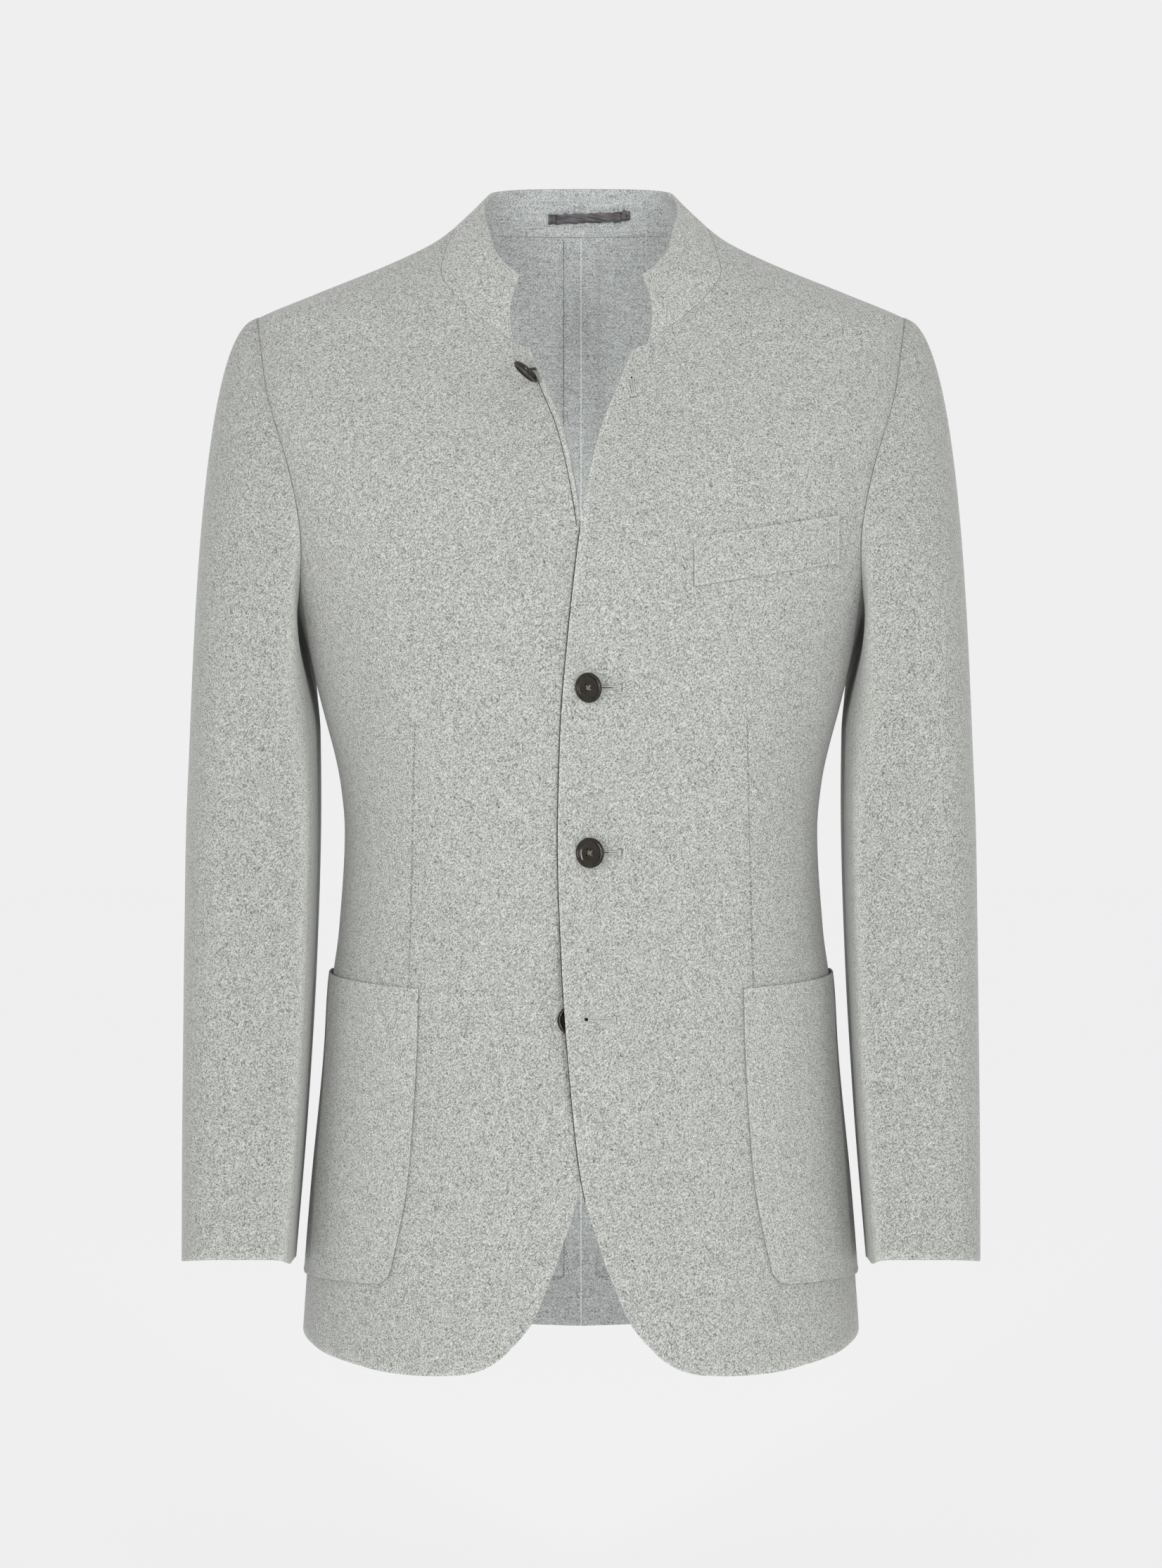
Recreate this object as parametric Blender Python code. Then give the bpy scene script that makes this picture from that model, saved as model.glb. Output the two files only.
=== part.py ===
"""Mandarin collar jacket: every cut-and-sewn piece of a worn jacket, as a thin cloth wall.

Lengths are metres and the tables' angles are degrees. +Z is up, the fronts face -Y and the
wearer's left is +X. The origin lies between the wearer's shoulders, at the height of the neck.
A point of the body is named by its turn (0 at the front centre, 90 at the side and along the
shoulder seam, 180 at the back centre) and by its level, which is its height.
"""
from collections import namedtuple

import bmesh
import bpy
import numpy as np
from mathutils import Vector

# Cloth and seams
CLOTH = 0.0018
FRONT_EDGE_CLOTH = 0.0030
FRONT_EDGE_BAND = (0.011, 0.027)
COLLAR_CLOTH = 0.0026
TRIM_CLOTH = 0.0015
TURNED_IN = 0.0010
SEAM_GAP = 0.0003
SEAM_TURN = 0.00125
ALLOWANCE = 0.0120
TURN_UP = 0.0340
TURNED_STEP = 0.0010

LEFT = 1
RIGHT = -1
SIDE_NAMES = {LEFT: "left", RIGHT: "right"}

# The general figure that the jacket is cut for, ring by ring from the neck to the hem
FigureRow = namedtuple("FigureRow", "level half_width front_depth back_depth roundness")
FIGURE = [
    FigureRow(0.006, 0.075, 0.011, 0.053, 2.20),
    FigureRow(-0.003, 0.086, 0.018, 0.058, 2.20),
    FigureRow(-0.012, 0.098, 0.026, 0.063, 2.20),
    FigureRow(-0.030, 0.135, 0.042, 0.072, 2.25),
    FigureRow(-0.049, 0.181, 0.0540, 0.080, 2.40),
    FigureRow(-0.064, 0.2166, 0.0612, 0.087, 2.60),
    FigureRow(-0.0655, 0.2192, 0.0620, 0.0877, 2.62),
    FigureRow(-0.088, 0.2215, 0.0738, 0.0975, 2.90),
    FigureRow(-0.118, 0.223, 0.090, 0.109, 3.10),
    FigureRow(-0.173, 0.2165, 0.115, 0.123, 2.90),
    FigureRow(-0.228, 0.204, 0.129, 0.130, 2.65),
    FigureRow(-0.272, 0.190, 0.134, 0.131, 2.50),
    FigureRow(-0.324, 0.1765, 0.134, 0.126, 2.60),
    FigureRow(-0.383, 0.1625, 0.129, 0.115, 2.65),
    FigureRow(-0.412, 0.160, 0.127, 0.112, 2.65),
    FigureRow(-0.479, 0.164, 0.127, 0.113, 2.45),
    FigureRow(-0.517, 0.169, 0.129, 0.119, 2.35),
    FigureRow(-0.575, 0.1735, 0.133, 0.127, 2.30),
    FigureRow(-0.651, 0.181, 0.137, 0.134, 2.30),
    FigureRow(-0.728, 0.187, 0.140, 0.137, 2.30),
    FigureRow(-0.790, 0.191, 0.142, 0.140, 2.30),
]

# Front edge from its top corner to the hem: how far it lies on its own side of the centre
FrontEdgeRow = namedtuple("FrontEdgeRow", "level own_x")
FRONT_EDGE = [
    FrontEdgeRow(-0.0915, 0.0345),
    FrontEdgeRow(-0.121, 0.0228),
    FrontEdgeRow(-0.145, 0.0133),
    FrontEdgeRow(-0.177, 0.0055),
    FrontEdgeRow(-0.210, 0.0),
    FrontEdgeRow(-0.282, -0.0083),
    FrontEdgeRow(-0.348, -0.0135),
    FrontEdgeRow(-0.420, -0.0152),
    FrontEdgeRow(-0.503, -0.0124),
    FrontEdgeRow(-0.580, -0.0068),
    FrontEdgeRow(-0.642, 0.0005),
    FrontEdgeRow(-0.691, 0.0147),
    FrontEdgeRow(-0.718, 0.0251),
    FrontEdgeRow(-0.7345, 0.0327),
    FrontEdgeRow(-0.7468, 0.0423),
]

# Hem from the round front corner to the back centre
HemRow = namedtuple("HemRow", "turn level")
HEM = [
    HemRow(10.4, -0.7468),
    HemRow(13.7, -0.758),
    HemRow(17.8, -0.7656),
    HemRow(22.0, -0.7684),
    HemRow(29.0, -0.7695),
    HemRow(38.5, -0.7686),
    HemRow(50.0, -0.7646),
    HemRow(62.6, -0.760),
    HemRow(75.0, -0.754),
    HemRow(90.0, -0.749),
    HemRow(104.0, -0.749),
    HemRow(140.0, -0.757),
    HemRow(180.0, -0.763),
]

# Front neckline from the collar's end to the neck point on the shoulder seam
NecklineRow = namedtuple("NecklineRow", "level own_x")
NECKLINE = [
    NecklineRow(-0.088, 0.044),
    NecklineRow(-0.074, 0.062),
    NecklineRow(-0.0637, 0.0745),
    NecklineRow(-0.051, 0.0865),
    NecklineRow(-0.036, 0.0945),
    NecklineRow(-0.020, 0.0915),
    NecklineRow(-0.003, 0.086),
]
NECK_LEVEL = -0.003
SHOULDER_LEVEL = -0.064
UNDERARM_LEVEL = -0.272

# Side seam, a little behind the side
SideSeamRow = namedtuple("SideSeamRow", "level turn")
SIDE_SEAM = [
    SideSeamRow(-0.272, 99.0),
    SideSeamRow(-0.360, 101.5),
    SideSeamRow(-0.500, 104.0),
    SideSeamRow(-0.790, 104.0),
]

# Armhole: how far it spreads before and behind the line from underarm to shoulder tip
ARMHOLE_FRONT_SPREAD = 36.5
ARMHOLE_BACK_SPREAD = 25.0
ARMHOLE_LOW_SHARE = 1.30
ARMHOLE_SKEW = 0.65

# Sleeve rings below the cap; inner roundness flattens the side that faces the body
SleeveRow = namedtuple("SleeveRow", "level outer_x inner_x centre_y half_depth inner_roundness")
SLEEVE = [
    SleeveRow(-0.345, 0.2650, 0.1785, 0.008, 0.076, 4.0),
    SleeveRow(-0.420, 0.2675, 0.1790, 0.002, 0.071, 9.0),
    SleeveRow(-0.500, 0.2682, 0.1810, -0.006, 0.066, 9.0),
    SleeveRow(-0.600, 0.2684, 0.1860, -0.020, 0.060, 9.0),
    SleeveRow(-0.7014, 0.2678, 0.1934, -0.036, 0.054, 9.0),
]
CUFF_TILT = 0.0049
SLEEVE_ROUNDNESS = 3.0
CAP_STEPS = (0.0, 0.07, 0.16, 0.28, 0.42, 0.57, 0.72, 0.86, 1.0)
CAP_RISE_TOP = Vector((1.0, 0.0, -0.05)) * 0.105
CAP_RISE_BOTTOM = Vector((0.25, 0.0, -1.0)) * 0.050
CAP_FORWARD = 0.030
CAP_SEAM = 0.00045
CAP_CLEAR = 0.0018
CAP_BLEND = 0.010
SLEEVE_LOW_ROWS = 8
ARMHOLE_TURN = 15
SLEEVE_SEAMS = (-60, 210)

# Left front lies over the right one, and rides over the lowest button
OVERLAP = 0.0037
OVERLAP_FADE = (0.030, 0.065)
OVERLAP_TOP = (-0.165, -0.205)
OVERLAP_LOW = (-0.66, -0.74)
BUTTON_RISE = 0.0044
RISE_ACROSS = (0.016, 0.050)
RISE_ALONG = (0.024, 0.075)

# Rolled edge of the open neck: how far each front's edge stands forward
RollRow = namedtuple("RollRow", "level left right")
ROLL = [
    RollRow(-0.0915, 0.002, 0.006),
    RollRow(-0.110, 0.004, 0.012),
    RollRow(-0.140, 0.004, 0.011),
    RollRow(-0.170, 0.002, 0.006),
    RollRow(-0.205, 0.0, 0.0),
]
ROLL_WIDTH = 0.022

# Collar's upper edge from the back centre to its front corner
CollarRow = namedtuple("CollarRow", "x y z")
COLLAR_TOP = [
    CollarRow(0.0, 0.0480, 0.0290),
    CollarRow(0.0350, 0.0420, 0.0280),
    CollarRow(0.0550, 0.0300, 0.0255),
    CollarRow(0.0625, 0.0160, 0.0218),
    CollarRow(0.0660, 0.0000, 0.0095),
    CollarRow(0.0627, -0.0180, -0.0038),
    CollarRow(0.0581, -0.0360, -0.0210),
    CollarRow(0.0480, -0.0510, -0.0344),
    CollarRow(0.0408, -0.0580, -0.0400),
]
COLLAR_ROWS = 3
COLLAR_END_BOW = 0.005
COLLAR_END_REACH = 0.16

# Hanger loop inside the back of the collar
LOOP_ENDS = (-0.0225, 0.0340)
LOOP_HEIGHTS = (0.27, 0.50)
LOOP_CLOTH = 0.0010
LOOP_SLACK = 0.0014

# Patch pockets, one on each front
POCKET_TURNS = (35.5, 96.0)
POCKET_BOTTOM = -0.711
POCKET_MOUTH = (-0.516, -0.507)
POCKET_CORNER = 0.010
POCKET_SLANT = 0.20
POCKET_SLANT_HEIGHT = 0.060
POCKET_SLANT_SOFT = 0.020
POCKET_TURN_SCALE = 0.150
POCKET_CLEAR = 0.0006
POCKET_GAPE = 0.0010
POCKET_COLUMNS = 10
POCKET_ROWS = (0.0, 0.02, 0.055, 0.10, 0.15, 0.26, 0.38, 0.50, 0.62, 0.74, 0.87, 1.0)

# Breast welt on the left front
WELT_ENDS = (0.074, 0.170)
WELT_TOP = (-0.220, -0.203)
WELT_HEIGHT = 0.0315
WELT_CLEAR = 0.0006
WELT_COLUMNS = 8
WELT_ROWS = 2

# Buttons: a turned disc with a raised rim
ProfileRow = namedtuple("ProfileRow", "radius height")
BUTTON_PROFILE = [
    ProfileRow(0.0075, 0.0),
    ProfileRow(0.0096, 0.0010),
    ProfileRow(0.0100, 0.0020),
    ProfileRow(0.0094, 0.0032),
    ProfileRow(0.0086, 0.0035),
    ProfileRow(0.0070, 0.0024),
    ProfileRow(0.0, 0.0024),
]
BUTTON_SIDES = 20
STEM_RADIUS = 0.0012
STEM_CLEAR = 0.0013
BUTTON_CLEAR = 0.0009
ButtonRow = namedtuple("ButtonRow", "name side own_x level hang lean")
BUTTONS = [
    ButtonRow("button_1", RIGHT, 0.0300, -0.1060, (0.0051, -0.0112, -0.0015), (0.65, -0.15, -0.745)),
    ButtonRow("button_2", LEFT, 0.0046, -0.318, (0.0013, -0.0045, 0.0), (-0.51, -0.85, -0.09)),
    ButtonRow("button_3", LEFT, 0.0060, -0.426, (0.0006, -0.0035, 0.0), (-0.39, -0.92, -0.03)),
    ButtonRow("button_4", RIGHT, 0.0055, -0.536, None, None),
]
COVERED_BUTTON = BUTTONS[3]

# How finely the panels are divided
FRONT_COLUMNS = (0.0, 0.025, 0.055, 0.10, 0.16, 0.23, 0.31, 0.39, 0.47, 0.55, 0.64, 0.73, 0.82, 0.91, 1.0)
EdgeRun = namedtuple("EdgeRun", "top_level rows")
FRONT_EDGE_RUNS = [
    EdgeRun(-0.640, 5),
    EdgeRun(-0.265, 12),
    EdgeRun(-0.205, 1),
    EdgeRun(-0.170, 1),
    EdgeRun(-0.135, 1),
    EdgeRun(-0.106, 1),
    EdgeRun(-0.0915, 1),
]
NECKLINE_ROWS = 6
FRONT_SIDE_ROWS = 17
BACK_SIDE_ROWS = 17
BACK_NECK_ROWS = 7
BACK_COLUMNS = 12


def column(rows, name):
    """One named column of a table."""
    return np.array([getattr(row, name) for row in rows], float)


def smooth(knots, values, at):
    """A curve through the knots that never swings past them, read at the places asked for."""
    knots = np.asarray(knots, float)
    values = np.asarray(values, float)
    if knots[0] > knots[-1]:
        knots = knots[::-1]
        values = values[::-1]
    width = np.diff(knots)
    slope = np.diff(values) / width
    product = slope[:-1] * slope[1:]
    total = np.where(product > 0, slope[:-1] + slope[1:], 1.0)
    inside = np.where(product > 0, 2 * product / total, 0.0)
    tangent = np.concatenate((slope[:1], inside, slope[-1:]))
    at = np.clip(at, knots[0], knots[-1])
    cell = np.clip(np.searchsorted(knots, at, side="right") - 1, 0, len(width) - 1)
    share = (at - knots[cell]) / width[cell]
    rest = 1 - share
    from_low = rest**2 * ((1 + 2 * share) * values[cell] + share * width[cell] * tangent[cell])
    from_high = share**2 * ((3 - 2 * share) * values[cell + 1] - rest * width[cell] * tangent[cell + 1])
    return from_low + from_high


def table_curve(rows, name, level):
    """A table's column as a smooth curve over its levels."""
    return smooth(column(rows, "level"), column(rows, name), level)


def eased(low, high, value):
    """0 at low and 1 at high, with a soft start and a soft end."""
    share = np.clip((value - low) / (high - low), 0.0, 1.0)
    return share * share * (3 - 2 * share)


def unit(vectors):
    """The same directions, one long."""
    return vectors / np.linalg.norm(vectors, axis=-1, keepdims=True)


def figure(turn, level):
    """Point of the figure, on its own side, at a turn and a level."""
    turn, level = np.broadcast_arrays(np.asarray(turn, float), np.asarray(level, float))
    power = 2 / table_curve(FIGURE, "roundness", level)
    sine = np.sin(turn)
    cosine = np.cos(turn)
    front = table_curve(FIGURE, "front_depth", level)
    back = table_curve(FIGURE, "back_depth", level)
    x = table_curve(FIGURE, "half_width", level) * np.sign(sine) * np.abs(sine) ** power
    y = -np.where(cosine > 0, front, back) * np.sign(cosine) * np.abs(cosine) ** power
    return np.stack((x, y, level), axis=-1)


def turn_at(own_x, level):
    """Turn of the front's point that lies so far out from the centre."""
    share = np.clip(np.abs(own_x) / table_curve(FIGURE, "half_width", level), 0.0, 1.0)
    return np.sign(own_x) * np.arcsin(share ** (table_curve(FIGURE, "roundness", level) / 2))


def figure_half_width(y, level):
    """How far out the figure lies at a depth and a level, and 0 where it isn't there."""
    power = table_curve(FIGURE, "roundness", level)
    front = table_curve(FIGURE, "front_depth", level)
    depth = np.where(y < 0, front, table_curve(FIGURE, "back_depth", level))
    share = np.clip(np.abs(y) / depth, 0.0, 1.0)
    return table_curve(FIGURE, "half_width", level) * (1 - share**power) ** (1 / power)


def forward_of_front(side, own_x, level):
    """How far a front stands forward of the figure: its rolled edge, and the overlap."""
    from_edge = own_x - table_curve(FRONT_EDGE, "own_x", level)
    roll = table_curve(ROLL, SIDE_NAMES[side], level)
    forward = roll * np.clip(1 - from_edge / ROLL_WIDTH, 0.0, 1.3) ** 2
    if side == LEFT:
        along = eased(*OVERLAP_TOP, level) * (1 - eased(*OVERLAP_LOW, level))
        forward = forward + OVERLAP * along * (1 - eased(*OVERLAP_FADE, own_x))
        rise = 1 - eased(*RISE_ACROSS, np.abs(own_x + COVERED_BUTTON.own_x))
        rise = rise * (1 - eased(*RISE_ALONG, np.abs(level - COVERED_BUTTON.level)))
        forward = forward + BUTTON_RISE * rise
    return forward


def front_face(side, turn, level):
    """Outer face of a front panel."""
    point = figure(turn, level)
    point[..., 1] -= forward_of_front(side, point[..., 0], point[..., 2])
    point[..., 0] *= side
    return point


def back_face(side, turn, level):
    """Outer face of a back panel."""
    point = figure(turn, level)
    point[..., 0] *= side
    return point


def facing(face, side, turn, level):
    """Outward direction of a panel's face."""
    turn_step = 0.004
    level_step = 0.001
    across = face(side, turn + turn_step, level) - face(side, turn - turn_step, level)
    upward = face(side, turn, level + level_step) - face(side, turn, level - level_step)
    return unit(np.cross(across, upward) * side)


def armhole(around):
    """Turn and level of the armhole; around is 0 at its front, 90 at the shoulder tip."""
    height = 0.5 + 0.5 * np.sin(around)
    spread = np.cos(around) * (ARMHOLE_LOW_SHARE - ARMHOLE_SKEW * height)
    spread = spread * np.where(spread > 0, ARMHOLE_FRONT_SPREAD, ARMHOLE_BACK_SPREAD)
    middle = SIDE_SEAM[0].turn + (90 - SIDE_SEAM[0].turn) * height
    level = UNDERARM_LEVEL + (SHOULDER_LEVEL - UNDERARM_LEVEL) * height
    return np.radians(middle - spread), level


def fill(bottom, top, inner, outer, across, upward):
    """Turns and levels that fill the patch between four edges."""
    p = np.asarray(across)[None, :, None]
    q = np.asarray(upward)[:, None, None]
    sides = (1 - p) * inner[:, None] + p * outer[:, None]
    ends = (1 - q) * bottom[None] + q * top[None]
    low = (1 - p) * bottom[0] + p * bottom[-1]
    high = (1 - p) * top[0] + p * top[-1]
    return sides + ends - (1 - q) * low - q * high


def pairs(turn, level):
    """Turns beside levels, as one array."""
    turn, level = np.broadcast_arrays(np.asarray(turn, float), np.asarray(level, float))
    return np.stack((turn, level), axis=-1)


def hem(turn):
    """Level of the hem at a turn."""
    return smooth(np.radians(column(HEM, "turn")), column(HEM, "level"), turn)


def side_seam(level, shift):
    """Side seam at the levels, shifted towards the panel that it ends."""
    return pairs(np.radians(table_curve(SIDE_SEAM, "turn", level)) + shift, level)


def neckline_turns():
    """Turns and levels of the front neckline, from the collar's end to the neck point."""
    along = np.linspace(0, len(NECKLINE) - 1, NECKLINE_ROWS + 1)
    knots = np.arange(len(NECKLINE))
    level = smooth(knots, column(NECKLINE, "level"), along)
    own_x = smooth(knots, column(NECKLINE, "own_x"), along)
    turn = turn_at(own_x, level)
    turn[-1] = np.pi / 2
    return pairs(turn, level)


def front_grid():
    """Turns and levels of a front panel, rows from the hem up and columns from its edge out."""
    across = np.array(FRONT_COLUMNS)
    edge_level = [FRONT_EDGE[-1].level]
    for run in FRONT_EDGE_RUNS:
        edge_level.extend(np.linspace(edge_level[-1], run.top_level, run.rows + 1)[1:])
    edge_level = np.array(edge_level)
    edge_turn = turn_at(table_curve(FRONT_EDGE, "own_x", edge_level), edge_level)
    inner = np.concatenate((pairs(edge_turn, edge_level), neckline_turns()))
    seam_turn = np.radians(HEM[10].turn) - SEAM_TURN
    bottom_turn = np.radians(HEM[0].turn) + across * (seam_turn - np.radians(HEM[0].turn))
    bottom = pairs(bottom_turn, hem(bottom_turn))
    bottom[0] = inner[0]
    side_level = np.linspace(bottom[-1, 1], UNDERARM_LEVEL, FRONT_SIDE_ROWS + 1)
    around = np.radians(np.arange(-90 + ARMHOLE_TURN, 91, ARMHOLE_TURN))
    outer = np.concatenate((side_seam(side_level, -SEAM_TURN), pairs(*armhole(around))))
    top = pairs(np.pi / 2, NECK_LEVEL + across * (SHOULDER_LEVEL - NECK_LEVEL))
    upward = np.linspace(0, 1, len(inner))
    return fill(bottom, top, inner, outer, across, upward)


def back_grid():
    """Turns and levels of a back panel, rows from the hem up and columns from the back seam out."""
    across = np.linspace(0, 1, BACK_COLUMNS + 1)
    centre = np.pi - turn_at(SEAM_GAP / 2, HEM[-1].level)
    seam_turn = np.radians(HEM[10].turn) + SEAM_TURN
    bottom_turn = centre + across * (seam_turn - centre)
    bottom = pairs(bottom_turn, hem(bottom_turn))
    side_level = above_turn_up(bottom[-1, 1], UNDERARM_LEVEL, BACK_SIDE_ROWS)
    around = np.radians(np.arange(270 - ARMHOLE_TURN, 89, -ARMHOLE_TURN))
    outer = np.concatenate((side_seam(side_level, SEAM_TURN), pairs(*armhole(around))))
    seam_rows = len(outer) - 1 - BACK_NECK_ROWS
    seam = pairs(centre, above_turn_up(bottom[0, 1], NECK_LEVEL, seam_rows))
    inner = np.concatenate((seam, pairs(back_neck_turns()[1:], NECK_LEVEL)))
    shoulder_turn = np.pi / 2 + SEAM_TURN
    top = pairs(shoulder_turn, NECK_LEVEL + across * (SHOULDER_LEVEL - NECK_LEVEL))
    inner[-1] = top[0]
    outer[-1] = top[-1]
    grid = fill(bottom, top, inner, outer, across, np.linspace(0, 1, len(inner)))
    edges = (SEAM_GAP / 2, ALLOWANCE - TURNED_STEP, ALLOWANCE + TURNED_STEP)
    for place, own_x in enumerate(edges):
        seam_level = grid[: seam_rows + 1, place, 1]
        grid[: seam_rows + 1, place, 0] = np.pi - turn_at(own_x, seam_level)
    for place, height in ((1, TURN_UP - TURNED_STEP), (2, TURN_UP + TURNED_STEP)):
        grid[place, :, 1] = hem(grid[place, :, 0]) + height
    return grid


def above_turn_up(low, high, rows):
    """Levels of so many rows from the hem up, two of them at the turn-up's edge."""
    upper = np.linspace(low + TURN_UP + TURNED_STEP, high, rows - 1)
    return np.concatenate(([low, low + TURN_UP - TURNED_STEP], upper))


def back_neck_turns():
    """Turns of the back neckline, from the back centre to the neck point."""
    return np.linspace(np.pi, np.pi / 2, BACK_NECK_ROWS + 1)


def wall(name, outer, inner, material):
    """A closed cloth wall between an outer and an inner grid of points."""
    rows, columns = outer.shape[:2]
    count = rows * columns
    index = np.arange(count).reshape(rows, columns)
    corners = (index[:-1, :-1], index[:-1, 1:], index[1:, 1:], index[1:, :-1])
    outside = np.stack(corners, axis=-1).reshape(-1, 4)
    inside = outside[:, ::-1] + count
    rim = np.concatenate((index[0], index[1:, -1], index[-1, -2::-1], index[-2:0:-1, 0]))
    after = np.roll(rim, -1)
    edge = np.stack((rim, rim + count, after + count, after), axis=-1)
    points = np.concatenate((outer.reshape(-1, 3), inner.reshape(-1, 3)))
    faces = np.concatenate((outside, inside, edge))
    mesh = bpy.data.meshes.new(name)
    mesh.from_pydata(points.tolist(), [], faces.tolist())
    return finished(name, mesh, material)


def finished(name, mesh, material):
    """An object of a mesh, with its faces turned out, shaded smooth and given its material."""
    work = bmesh.new()
    work.from_mesh(mesh)
    bmesh.ops.recalc_face_normals(work, faces=work.faces)
    work.to_mesh(mesh)
    work.free()
    mesh.shade_smooth()
    mesh.set_sharp_from_angle(angle=np.radians(50))
    mesh.materials.append(material)
    piece = bpy.data.objects.new(name, mesh)
    bpy.context.collection.objects.link(piece)
    piece.parent = bpy.data.objects["jacket"]
    return piece


def finish(name, colour, roughness):
    """A plain Principled material."""
    material = bpy.data.materials.new(name)
    material.use_nodes = True
    shader = material.node_tree.nodes["Principled BSDF"]
    shader.inputs["Base Color"].default_value = (*colour, 1.0)
    shader.inputs["Roughness"].default_value = roughness
    shader.inputs["Metallic"].default_value = 0.0
    return material


def panel(name, face, side, grid, thickness, material):
    """A panel's wall, from the turns and levels of its outer face."""
    turn = grid[..., 0]
    level = grid[..., 1]
    outer = face(side, turn, level)
    inner = outer - facing(face, side, turn, level) * thickness[..., None]
    return wall(name, outer, inner, material)


def front_panel(side, material):
    """A front, thicker along its turned edge."""
    grid = front_grid()
    own_x = figure(grid[..., 0], grid[..., 1])[..., 0]
    band = eased(*FRONT_EDGE_BAND, own_x - own_x[:, :1])
    thickness = FRONT_EDGE_CLOTH + (CLOTH - FRONT_EDGE_CLOTH) * band
    return panel(f"front_{SIDE_NAMES[side]}", front_face, side, grid, thickness, material)


def back_panel(side, material):
    """A half of the back, doubled where its seam allowance and hem are turned in."""
    grid = back_grid()
    thickness = np.full(grid.shape[:2], CLOTH)
    thickness[:2] += TURNED_IN
    thickness[2:-BACK_NECK_ROWS, :2] += TURNED_IN
    return panel(f"back_{SIDE_NAMES[side]}", back_face, side, grid, thickness, material)


def sleeve_ring(row_level, around):
    """Points of the sleeve below its cap, on its own side."""
    level, around = np.broadcast_arrays(np.asarray(row_level, float), around)
    outer = table_curve(SLEEVE, "outer_x", level)
    inner = table_curve(SLEEVE, "inner_x", level)
    low = np.sin(around) < -1e-9
    power = 2 / np.where(low, table_curve(SLEEVE, "inner_roundness", level), SLEEVE_ROUNDNESS)
    sine = np.sin(around)
    cosine = np.cos(around)
    x = (outer + inner) / 2 + (outer - inner) / 2 * np.sign(sine) * np.abs(sine) ** power
    swing = table_curve(SLEEVE, "half_depth", level) * np.sign(cosine) * np.abs(cosine) ** power
    return np.stack((x, table_curve(SLEEVE, "centre_y", level) - swing, level), axis=-1)


def sleeve_cap(around):
    """Rows of the cap, from the armhole to the sleeve's first ring."""
    turn, level = armhole(around)
    start = figure(turn, level)
    end = sleeve_ring(SLEEVE[0].level, around)
    height = eased(0.0, 1.0, 0.5 + 0.5 * np.sin(around))[:, None]
    rise = np.array(CAP_RISE_BOTTOM) * (1 - height) + np.array(CAP_RISE_TOP) * height
    rise[:, 1] -= CAP_FORWARD * np.cos(around)
    below = sleeve_ring(SLEEVE[0].level - CAP_BLEND, around)
    drop = (below - end) / CAP_BLEND * (start[:, 2:] - end[:, 2:])
    body_out = facing(back_face, LEFT, turn, level)
    start = start + CAP_SEAM * unit(unit(rise) + body_out)
    share = np.array(CAP_STEPS)[:, None, None]
    rest = 1 - share
    rows = rest**2 * ((1 + 2 * share) * start + share * rise)
    rows = rows + share**2 * ((3 - 2 * share) * end - rest * drop)
    least = figure_half_width(rows[..., 1], rows[..., 2])
    least = least + CAP_CLEAR * np.minimum(1, share[..., 0] / CAP_STEPS[2])
    rows[1:, :, 0] = np.maximum(rows[1:, :, 0], least[1:])
    return rows


def sleeve_points():
    """Outer and inner points of a whole sleeve, on its own side, row by row round the arm."""
    around = np.radians(np.arange(0, 360, ARMHOLE_TURN))
    levels = np.linspace(SLEEVE[0].level, SLEEVE[-1].level, SLEEVE_LOW_ROWS + 1)[1:]
    outer = np.concatenate((sleeve_cap(around), sleeve_ring(levels[:, None], around[None])))
    low = eased(SLEEVE[2].level, SLEEVE[-1].level, outer[..., 2])
    outer[..., 2] += CUFF_TILT * np.cos(around) * low
    along = np.gradient(outer, axis=0)
    across = np.roll(outer, -1, axis=1) - np.roll(outer, 1, axis=1)
    outward = unit(np.cross(along, across))
    return outer, outer - CLOTH * outward, unit(across)


def sleeve_pieces(side, material):
    """Top sleeve and under sleeve, parted along two seams."""
    outer, inner, across = sleeve_points()
    start, end = (seam // ARMHOLE_TURN for seam in SLEEVE_SEAMS)
    columns = outer.shape[1]
    spans = {"top": range(start, end + 1), "under": range(end, start + columns + 1)}
    for name, span in spans.items():
        places = [place % columns for place in span]
        shift = np.zeros((len(places), 1))
        shift[0] = SEAM_GAP / 2
        shift[-1] = -SEAM_GAP / 2
        faces = [grid[:, places] + across[:, places] * shift for grid in (outer, inner)]
        for grid in faces:
            grid[..., 0] *= side
        wall(f"sleeve_{SIDE_NAMES[side]}_{name}", *faces, material)


def collar_half(side):
    """Lower and upper edge of half a collar, from the back centre to its front end."""
    back = (back_face, side, back_neck_turns(), NECK_LEVEL)
    front = (front_face, side, *neckline_turns()[::-1][1:].T)
    base = np.concatenate([face(*place) for face, *place in (back, front)])
    seam_inward = -np.concatenate([facing(*place) for place in (back, front)])
    base_share = np.insert(np.cumsum(np.linalg.norm(np.diff(base, axis=0), axis=1)), 0, 0.0)
    base_share = base_share / base_share[-1]
    knots = np.stack([column(COLLAR_TOP, name) for name in CollarRow._fields], axis=-1)
    run = np.insert(np.cumsum(np.linalg.norm(np.diff(knots, axis=0), axis=1)), 0, 0.0)
    top = np.stack([smooth(run, knots[:, axis], base_share * run[-1]) for axis in range(3)], axis=-1)
    top[:, 0] *= side
    near_end = eased(1 - COLLAR_END_REACH, 1.0, base_share)
    return base, top, near_end, seam_inward


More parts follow.
